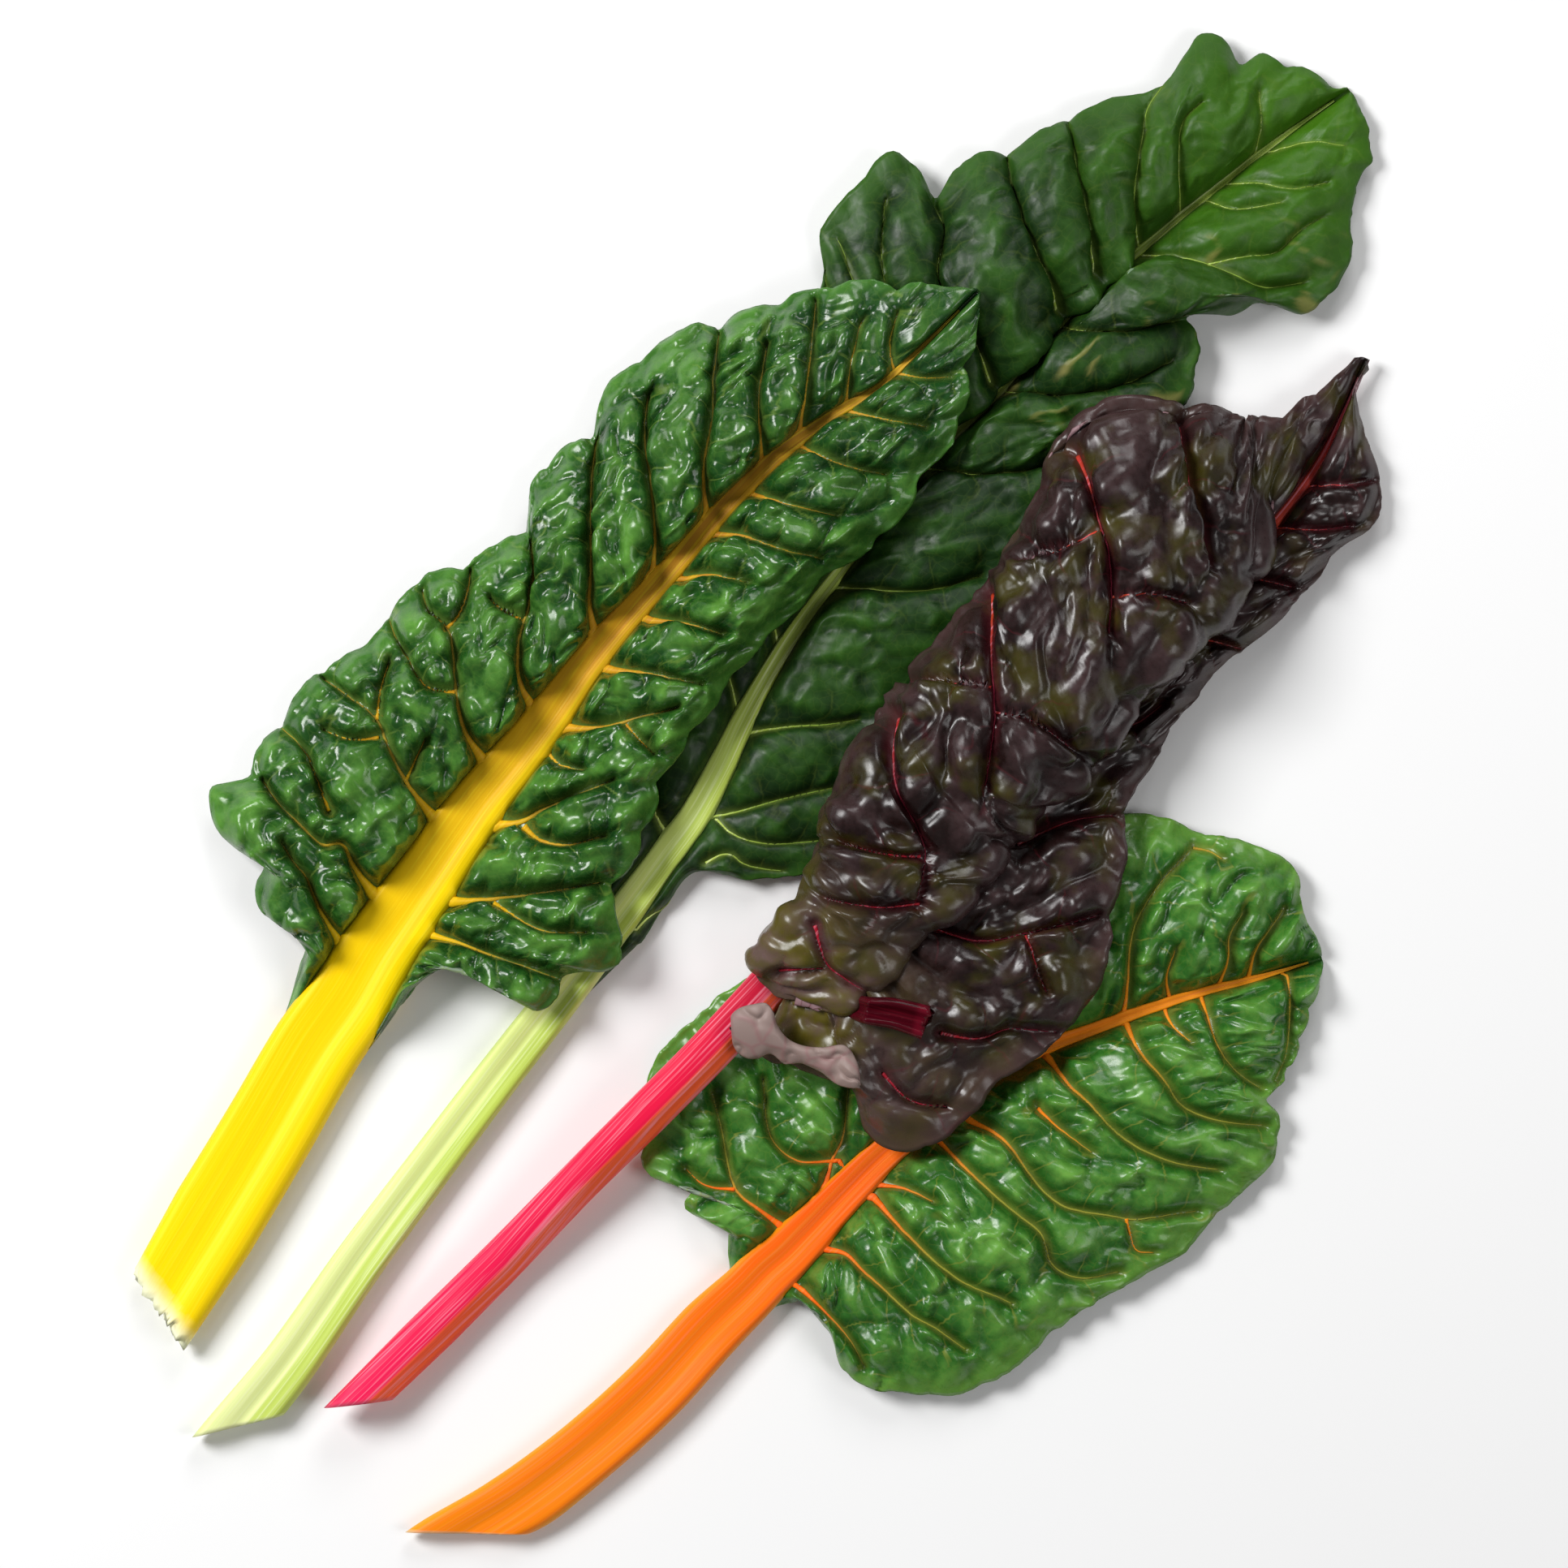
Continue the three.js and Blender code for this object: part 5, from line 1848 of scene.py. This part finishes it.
GREEN_RIGHT = (
    (0.8, ((-34.5, 208), (-27, 217.5), (-19.5, 222.5))),
    (0.8, ((-38.5, 193.5), (-30.5, 199.5), (-23.5, 203.5), (-17, 211.5))),
    (0.7, ((-40, 187), (-31.5, 189.5), (-23, 199))),
    (1.2, ((-43, 164.5), (-36, 169), (-27.5, 173), (-20.5, 175.5), (-12.5, 178), (-4.5, 186.5))),
    (0.8, ((-27.5, 173), (-20.5, 182), (-15.5, 188), (-14.5, 196.5), (-12, 203.5))),
    (1.1, ((-49, 135.5), (-41.5, 138), (-31, 147.5), (-24, 157))),
    (1.4, ((-52, 82), (-38, 91), (-26.5, 103.5), (-19.5, 114.5))),
    (1.2, ((-52, 110), (-37.5, 119), (-25.5, 132), (-18, 147))),
    (1.8, ((-38, -30), (-31.5, -23.5), (-23, -11), (-13.5, 1.5))),
    (1.1, ((-32.5, -26), (-26.5, -26.5), (-18, -22.5), (-5.5, -10.5))),
    (1.2, ((-27.5, -37.5), (-24.5, -31.5), (-18.5, -30.5), (-10, -25.5))),
    (1.8, ((-42, -3.5), (-33.5, 6), (-26.5, 12.5), (-21, 19))),
    (1.7, ((-50, 41.5), (-44, 46), (-33, 54), (-27.5, 59.5), (-20.5, 70))),
    (1.0, ((-30, -63), (-30, -59), (-27, -50.5))),
)
ORANGE_LEFT = (
    (1.2, ((54, -84), (50.5, -77), (48.5, -70), (41, -59))),
    (1.4, ((51.5, -99), (44, -99.5), (35.5, -99.5), (22, -89.5), (13.5, -83.5))),
    (0.8, ((52, -75.5), (43, -83), (33.5, -82.5), (22, -72))),
    (0.7, ((35.5, -99.5), (28.5, -104), (21.5, -104))),
    (1.0, ((85.5, 4.5), (82.5, 9), (73, 22.5), (70.5, 31.5), (70, 41), (70.5, 50.5))),
    (0.9, ((100.5, 26), (97.5, 33.5), (93.5, 38.5), (92, 46))),
    (0.9, ((105, 33.5), (101.5, 40.5), (100.5, 49.5), (100, 54))),
    (0.8, ((92.5, 15.5), (88, 19), (84.5, 26.5))),
    (0.5, ((70.5, 50.5), (75, 53), (79, 53.5))),
)
ORANGE_RIGHT = (
    (1.1, ((64, -74), (70, -70), (78.5, -67.5))),
    (1.4, ((65.5, -77), (75.5, -78.5), (89, -79.5), (98.5, -79), (108.5, -76), (112.5, -75))),
    (1.2, ((65, -96), (69.5, -93.5), (76, -94), (81, -94), (95, -94.5), (99, -93.5), (111, -92.5))),
    (0.9, ((67, -108.5), (75, -109), (85, -110.5), (92.5, -113.5))),
    (1.2, (
        (67.5, -54), (80, -55), (89, -55.5), (98.5, -55.5),
        (106, -55.5), (114, -60), (122, -58), (129, -50),
    )),
    (1.2, (
        (72, -44.5), (81.5, -42.5), (97.5, -46), (105.5, -46),
        (114.5, -41.5), (123.5, -36), (129.5, -29.5), (134.5, -24),
    )),
    (0.6, ((121, -37.5), (129, -42.5), (133, -40))),
    (1.3, ((78, -18), (87.5, -20), (92.5, -20), (106, -21.5), (120.5, -18), (132, -11.5))),
    (0.7, ((83.5, -30), (90, -30.5), (102.5, -30))),
    (1.2, ((87.5, 3), (94.5, -0.5), (105.5, -2.5), (112, -4.5), (119.5, -3), (128, 1.5), (133.5, 5.5))),
    (0.8, ((92.5, 13), (97, 10.5), (104, 10))),
    (0.8, ((98.5, 21.5), (110, 14), (118, 12), (126.5, 12.5))),
    (0.5, ((112.5, 41), (118.5, 34.5), (126, 23.5), (128, 16.5))),
)
YELLOW_LEFT = (
    (2.0, ((-89.5, -117), (-99, -113.5), (-108, -109), (-111.5, -108.5), (-118.5, -106.5))),
    (2.6, (
        (-92, -101), (-100, -98.5), (-106, -96), (-109.5, -99.5),
        (-116, -99.5), (-125, -99), (-133.5, -97),
    )),
    (2.8, ((-92, -75), (-102.5, -72.5), (-112, -68.5), (-120, -64.5), (-129, -64.5), (-139, -65.5))),
    (0.9, ((-120, -64.5), (-124.5, -58), (-127.5, -51))),
    (0.8, ((-116.5, -67.5), (-122, -73), (-129.5, -76))),
    (1.0, ((-114, -91.5), (-121.5, -87.5), (-130, -83.5), (-139, -83))),
    (2.8, (
        (-91.5, -54.5), (-101, -51), (-109, -44.5), (-117, -36.5),
        (-121.5, -33.5), (-129, -33), (-133.5, -30),
    )),
    (0.9, ((-121.5, -33.5), (-121.5, -29), (-123.5, -23), (-127, -17.5))),
    (0.9, ((-108.5, -45), (-115.5, -49), (-125, -46.5), (-130.5, -44.5), (-135.5, -42))),
    (0.8, ((-103.5, -72.5), (-107, -60))),
    (2.5, ((-90.5, -35), (-97.5, -31.5), (-104.5, -23.5), (-108.5, -14.5), (-113.5, -6.5), (-119.5, -1))),
    (0.7, ((-107, -18.5), (-113, -20), (-118, -20))),
    (2.4, ((-90, -9), (-96, -4), (-102.5, 4.5), (-111.5, 15), (-118, 23), (-123.5, 31.5))),
    (2.0, ((-88, 12), (-93, 20), (-105, 32.5), (-114, 40.5), (-120.5, 49.5))),
    (1.8, ((-87, 34.5), (-96, 44), (-103, 56), (-111, 66), (-116.5, 74.5))),
    (1.5, ((-84, 54), (-89.5, 60), (-96, 67), (-104.5, 80.5))),
    (1.3, ((-82.5, 67.5), (-89, 78.5), (-96.5, 90), (-102, 98))),
    (1.1, ((-77, 80.5), (-83, 89.5), (-89, 101.5))),
    (0.9, ((-72.5, 96), (-79, 101.5), (-83, 109.5))),
)
YELLOW_RIGHT = (
    (1.6, ((-71.5, -99.5), (-64, -96), (-56.5, -93.5), (-46.5, -89.5), (-37.5, -86.5))),
    (2.4, ((-73, -89), (-61, -77), (-53, -68), (-46, -59.5))),
    (1.0, ((-64.5, -82), (-50, -79.5), (-40, -72))),
    (2.6, ((-77.5, -66), (-72.5, -60), (-70.5, -54.5), (-65.5, -45), (-61, -36))),
    (1.6, ((-71.5, -61), (-66, -61), (-59.5, -57.5), (-53, -49))),
    (2.4, ((-80, -33.5), (-72, -26.5), (-66, -18), (-60, -10))),
    (0.7, ((-68, -22), (-62.5, -23), (-57, -23.5))),
    (0.9, ((-79, -41.5), (-75, -42), (-68.5, -39))),
    (1.8, ((-80.5, -13.5), (-74, -9), (-66, -4.5), (-59, -1))),
    (1.6, ((-81, 3.5), (-76, 7), (-71, 10), (-63.5, 13))),
    (1.2, ((-81.5, 17.5), (-76.5, 23), (-67.5, 28))),
    (1.4, ((-82.5, 32.5), (-76, 37), (-66.5, 40.5), (-56.5, 45.5))),
    (1.1, ((-82, 47), (-72.5, 51), (-60.5, 57))),
    (1.1, ((-81.5, 65), (-69.5, 68), (-57.5, 74))),
    (0.9, ((-77, 80.5), (-67, 85.5), (-57.5, 91))),
    (0.8, ((-73.5, 96.5), (-66, 101), (-61, 105.5))),
)
RED_LEFT = (
    (1.3, ((-21, 111), (-13.5, 106.5), (-7, 101.5), (2, 95.5), (11, 85.5), (15.5, 79))),
    (1.3, ((-14.5, 68), (-3.5, 53.5), (6.5, 42.5), (16.5, 27))),
    (1.2, ((-12.5, 26.5), (-8, 18.5), (-1, 11.5), (11, 6), (17, 1), (22.5, -10))),
    (0.8, ((15.5, 1.5), (6.5, -5), (-2, -9))),
    (0.6, ((23, -8.5), (15.5, -16), (3, -23.5))),
    (1.1, ((-5.5, 134.5), (6, 124), (16.5, 116), (23, 110))),
    (1.1, ((5.5, -30.5), (14.5, -36.5), (21.5, -36.5), (27, -35.5))),
    (0.6, ((6, -46), (15, -37.5))),
    (0.6, ((1, 48), (-7.5, 42), (-15.5, 34.5))),
    (0.6, ((-3.5, 99), (-7.5, 90), (-12.5, 79.5))),
    (0.6, ((10, 87), (17, 94.5), (25.5, 98.5))),
    (0.6, ((5.5, 43.5), (14.5, 48), (26.5, 49.5))),
)
RED_RIGHT = (
    (1.0, ((24.5, -13), (42, -6), (51, 4.5), (62.5, 20))),
    (1.0, ((50, -31.5), (59, -26), (63.5, -19), (74.5, -11))),
    (0.9, ((45, -49.5), (55.5, -50.5), (64.5, -45.5))),
    (0.7, ((50.5, 3.5), (60.5, -2.5), (65, -5))),
    (0.9, ((33.5, 20.5), (41, 35.5), (48.5, 43.5))),
    (0.9, ((32, 60), (37.5, 67), (39.5, 75))),
    (0.9, ((30, 89.5), (36.5, 95.5), (46.5, 100.5))),
    (0.8, ((29, 111.5), (36, 116.5), (46, 122))),
    (0.7, ((30.5, 130.5), (39.5, 136.5), (47.5, 144.5))),
    (0.6, ((31, 145), (38.5, 151.5), (44.5, 158))),
)

LOBE_FAR = (
    (6, -66),
    (4, -63.5),
    (4.5, -60.5),
    (6.5, -57.5),
    (9, -55),
    (12, -55.5),
    (15, -57.5),
    (19.5, -58.5),
    (23.5, -57.5),
    (28, -54.5),
    (32.5, -50),
    (38, -51.5),
    (42.5, -55.5),
)
LOBE_NEAR = (
    (6.5, -66.5),
    (9, -69),
    (11.5, -70),
    (14.5, -69.5),
    (16.5, -68),
    (18.5, -66),
    (21, -64.5),
    (23.5, -63.5),
    (27.5, -61.5),
    (32, -60.5),
    (35.5, -60),
    (39.5, -58.5),
    (42.5, -56),
)
STUB_PATH = ((27, -41), (31, -39), (37, -35), (45, -31.5))

CHANNELLED = (
    (-0.5, 0.55),
    (-0.47, 0.82),
    (-0.38, 0.98),
    (-0.2, 0.97),
    (0.0, 0.86),
    (0.2, 0.94),
    (0.36, 1.0),
    (0.46, 0.86),
    (0.5, 0.55),
)
STEPPED = (
    (-0.5, 0.5),
    (-0.47, 0.8),
    (-0.38, 0.93),
    (-0.15, 0.9),
    (0.08, 0.88),
    (0.2, 1.0),
    (0.34, 1.02),
    (0.45, 0.88),
    (0.5, 0.55),
)
FACETED = (
    (-0.5, 0.5),
    (-0.46, 0.8),
    (-0.34, 0.97),
    (-0.1, 1.02),
    (0.1, 1.0),
    (0.2, 0.93),
    (0.34, 0.76),
    (0.45, 0.62),
    (0.5, 0.45),
)


def green_leaf() -> ChardLeaf:
    """The pale-stalked leaf underneath, with broad smooth folds towards its tip.

    Returns:
        The leaf.
    """
    blade = BladeFinish(
        name="green",
        valley_shade="040e04",
        body="13300a",
        crest="2c5413",
        margin="356018",
        vein="7a9038",
        blotch="0f280b",
        underside="708a6c",
        tip="40700f",
        tip_share=0.8,
        line_share=0.1,
        mesh_share=0.05,
        ior=1.33,
        roughness=0.43,
        dome_mm=9.0,
        bump_mm=0.2,
    )
    stalk = StalkFinish(
        name="pale green",
        length_tones=((0.0, "eaf2a6"), (0.3, "dfec8c"), (0.5, "9fb348"), (1.0, "86a040")),
        streak="f4f8cc",
        flank="b9cf6c",
        # the right face is painted shade in the stalk's groove
        right_face_tone_and_shade="b3c74a",
        face_from=0.56,
        vein_end="7f9a3c",
        streak_share=0.5,
    )
    return ChardLeaf(
        name="green",
        petiole=GREEN_PETIOLE,
        ribs=GREEN_RIBS,
        lobes=GREEN_LOBES,
        veins={Side.LEFT: GREEN_LEFT, Side.RIGHT: GREEN_RIGHT},
        top=CHANNELLED,
        blade_finish=blade,
        stalk_finish=stalk,
        slant=1.3,
        bulge=1.0,
        vein_share=0.1,
        vein_flare=0.15,
        relief=Relief(
            swell=5.5,
            strip=11.0,
            puff=1.6,
            cell=0.35,
            pitch=12.0,
            lump=0.7,
            lump_size=(20.0, 12.0),
            fold=0.5,
            fold_size=(22.0, 13.0),
            ridge=0.9,
            ridge_size=(13.0, 8.0),
            over_midrib=0.8,
            cover=(7.4, 10.7, 6.0),
            root=5.0,
            vigour=(0.5, 0.6, 0.7, 0.9, 1.2, 1.3, 1.1, 0.7, 0.3),
            cross=0.8,
            cross_pitch=12.0,
            worn=(7.2, 12.0),
            wave=2.0,
        ),
        seed=3,
    )


def orange_leaf() -> ChardLeaf:
    """The short orange-stalked leaf underneath, broad, glossy and softly puckered.

    Returns:
        The leaf.
    """
    blade = BladeFinish(
        name="orange",
        valley_shade="0a280a",
        body="2c641e",
        crest="68a040",
        margin="6b9c3a",
        vein="8c923a",
        blotch="1b4a18",
        underside="808f7c",
        tip="3c7f2e",
        roughness=0.27,
        dome_mm=6.0,
        bump_mm=0.2,
    )
    stalk = StalkFinish(
        name="orange",
        length_tones=(
            (0.0, "ff8210"),
            (0.3, "ff700c"),
            (0.5, "f8580c"),
            (0.7, "f87c14"),
            (0.94, "ee921c"),
            (1.0, "a08c2c"),
        ),
        streak="ff8c5e",
        flank="dca010",
        vein_end="98983a",
    )
    return ChardLeaf(
        name="orange",
        petiole=ORANGE_PETIOLE,
        ribs=ORANGE_RIBS,
        lobes=ORANGE_LOBES,
        veins={Side.LEFT: ORANGE_LEFT, Side.RIGHT: ORANGE_RIGHT},
        top=CHANNELLED,
        blade_finish=blade,
        stalk_finish=stalk,
        slant=1.6,
        bulge=1.0,
        vein_share=0.24,
        vein_flare=0.5,
        relief=Relief(
            swell=1.8,
            strip=9.0,
            puff=0.4,
            cell=0.5,
            pitch=9.0,
            lump=1.2,
            lump_size=(17.0, 13.0),
            fold=2.0,
            fold_size=(14.0, 11.0),
            ridge=1.4,
            ridge_size=(13.0, 8.0),
            cross=1.0,
            cross_pitch=9.0,
            over_midrib=0.0,
            root=8.0,
        ),
        seed=5,
    )


def yellow_leaf(bed: Bed) -> ChardLeaf:
    """The broad yellow-stalked leaf on top, with deep tight puckers.

    Args:
        bed: the tops of the leaves that it lies across.

    Returns:
        The leaf.
    """
    blade = BladeFinish(
        name="yellow",
        valley_shade="030d04",
        body="1d4a16",
        crest="5a9036",
        margin="44782a",
        vein="7d9a42",
        blotch="113318",
        underside="7c8c78",
        tip="17391a",
        tip_share=0.5,
        roughness=0.23,
        line_share=0.4,
        dome_mm=5.5,
        bump_mm=0.17,
    )
    stalk = StalkFinish(
        name="yellow",
        length_tones=(
            (0.0, "ffe200"),
            (0.3, "fdd200"),
            (0.42, "e8b810"),
            (0.6, "cc9020"),
            (0.8, "b87a28"),
            (0.93, "c79a30"),
            (1.0, "6c8030"),
        ),
        streak="ffee30",
        flank="ecba00",
        right_face_tone_and_shade="ffdc00",
        face_from=0.72,
        vein_end="a08a30",
        cut="fbfdd8",
        streak_share=0.3,
    )
    return ChardLeaf(
        name="yellow",
        petiole=YELLOW_PETIOLE,
        ribs=YELLOW_RIBS,
        lobes=YELLOW_LOBES,
        veins={Side.LEFT: YELLOW_LEFT, Side.RIGHT: YELLOW_RIGHT},
        top=STEPPED,
        blade_finish=blade,
        stalk_finish=stalk,
        slant=-0.45,
        bulge=2.2,
        vein_share=0.2,
        vein_flare=0.45,
        relief=Relief(
            swell=4.6,
            strip=7.5,
            puff=1.1,
            cell=2.2,
            pitch=10.0,
            lump=1.6,
            lump_size=(11.0, 13.0),
            fold=2.2,
            fold_size=(11.0, 13.0),
            ridge=0.3,
            ridge_size=(8.0, 8.0),
            cross=1.4,
            cross_pitch=8.0,
            lean=1.4,
            over_midrib=1.6,
            root=4.0,
            vigour=(1.0, 1.0, 1.0, 1.0, 1.0, 1.0, 1.0, 0.75, 0.3),
            frill=2.0,
        ),
        end=CutEnd.TORN,
        seed=7,
        columns=74,
        rows=320,
        bed=bed,
    )


def red_leaf(bed: Bed) -> ChardLeaf:
    """The crimson-stalked purple leaf on top, its left half rolled over the midrib.

    Args:
        bed: the tops of the leaves that it lies across.

    Returns:
        The leaf.
    """
    blade = BladeFinish(
        name="purple",
        valley_shade="0a0303",
        body="1b0d0c",
        crest="402e2f",
        margin="4a3634",
        vein="5a1a24",
        blotch="3c380c",
        base_tones=("2c1714", "6a5450", "5a5210"),
        mesh_share=0.04,
        underside="8c6e73",
        tip="231416",
        blotch_share=0.85,
        roughness=0.29,
        line_share=0.3,
        dome_mm=8.0,
        bump_mm=0.1,
    )
    stalk = StalkFinish(
        name="crimson",
        length_tones=(
            (0.0, "ee1e56"),
            (0.3, "ec1844"),
            (0.45, "a81c30"),
            (0.75, "8c2c20"),
            (0.85, "c8481e"),
            (0.95, "9a2c2c"),
            (1.0, "5a2422"),
        ),
        streak="ffa8bc",
        flank="e02444",
        vein_end="6e1a2c",
        right_face_tone_and_shade="ff6a30",
        cut="d87088",
        streak_share=0.6,
    )
    return ChardLeaf(
        name="red",
        petiole=RED_PETIOLE,
        ribs=RED_RIBS,
        lobes=RED_LOBES,
        veins={Side.LEFT: RED_LEFT, Side.RIGHT: RED_RIGHT},
        top=FACETED,
        blade_finish=blade,
        stalk_finish=stalk,
        slant=1.27,
        bulge=1.5,
        vein_share=0.2,
        relief=Relief(
            swell=2.6,
            strip=11.0,
            puff=0.9,
            cell=2.4,
            pitch=12.0,
            lump=3.2,
            lump_size=(18.0, 20.0),
            fold=1.6,
            fold_size=(15.0, 17.0),
            ridge=0.0,
            cross=0.8,
            cross_pitch=12.0,
            vigour=(0.6, 0.7, 0.8, 1.0, 1.0, 1.0, 1.0, 0.7, 0.3),
            frill=1.0,
        ),
        seed=11,
        columns=58,
        rows=280,
        winged=False,
        open_row=12.8,
        roll=RED_ROLL,
        bed=bed,
    )


def main() -> None:
    """Builds the bunch, then the floor, the camera and the lights."""
    lower = [green_leaf(), orange_leaf()]
    for leaf in lower:
        leaf.build()
    bed = Bed([cloud for leaf in lower for cloud in leaf.cloud()])
    upper = [yellow_leaf(bed), red_leaf(bed)]
    for leaf in upper:
        leaf.build()
    top = Bed([cloud for leaf in lower + upper for cloud in leaf.cloud()])
    turned = replace(
        upper[1].blade_finish,
        name="turned over",
        underside="8c7872",
        vein="8a3448",
        mesh_mm=8.0,
        net_share=0.25,
    )
    TurnedLobe("red_turned_lobe", "red_blade", LOBE_FAR, LOBE_NEAR, turned, top).build()
    stub = StalkFinish(
        name="torn crimson",
        length_tones=((0.0, "340610"), (1.0, "540816")),
        streak="861428",
        flank="24050a",
        cut="7c1428",
        roughness=0.2,
    )
    TornStub("red_torn_stub", "red_stalk", STUB_PATH, 8.0, 4.0, stub, top).build()
    Studio().build()


if __name__ == "__main__":
    logging.basicConfig(level=logging.INFO, format="%(name)s: %(message)s")
    main()
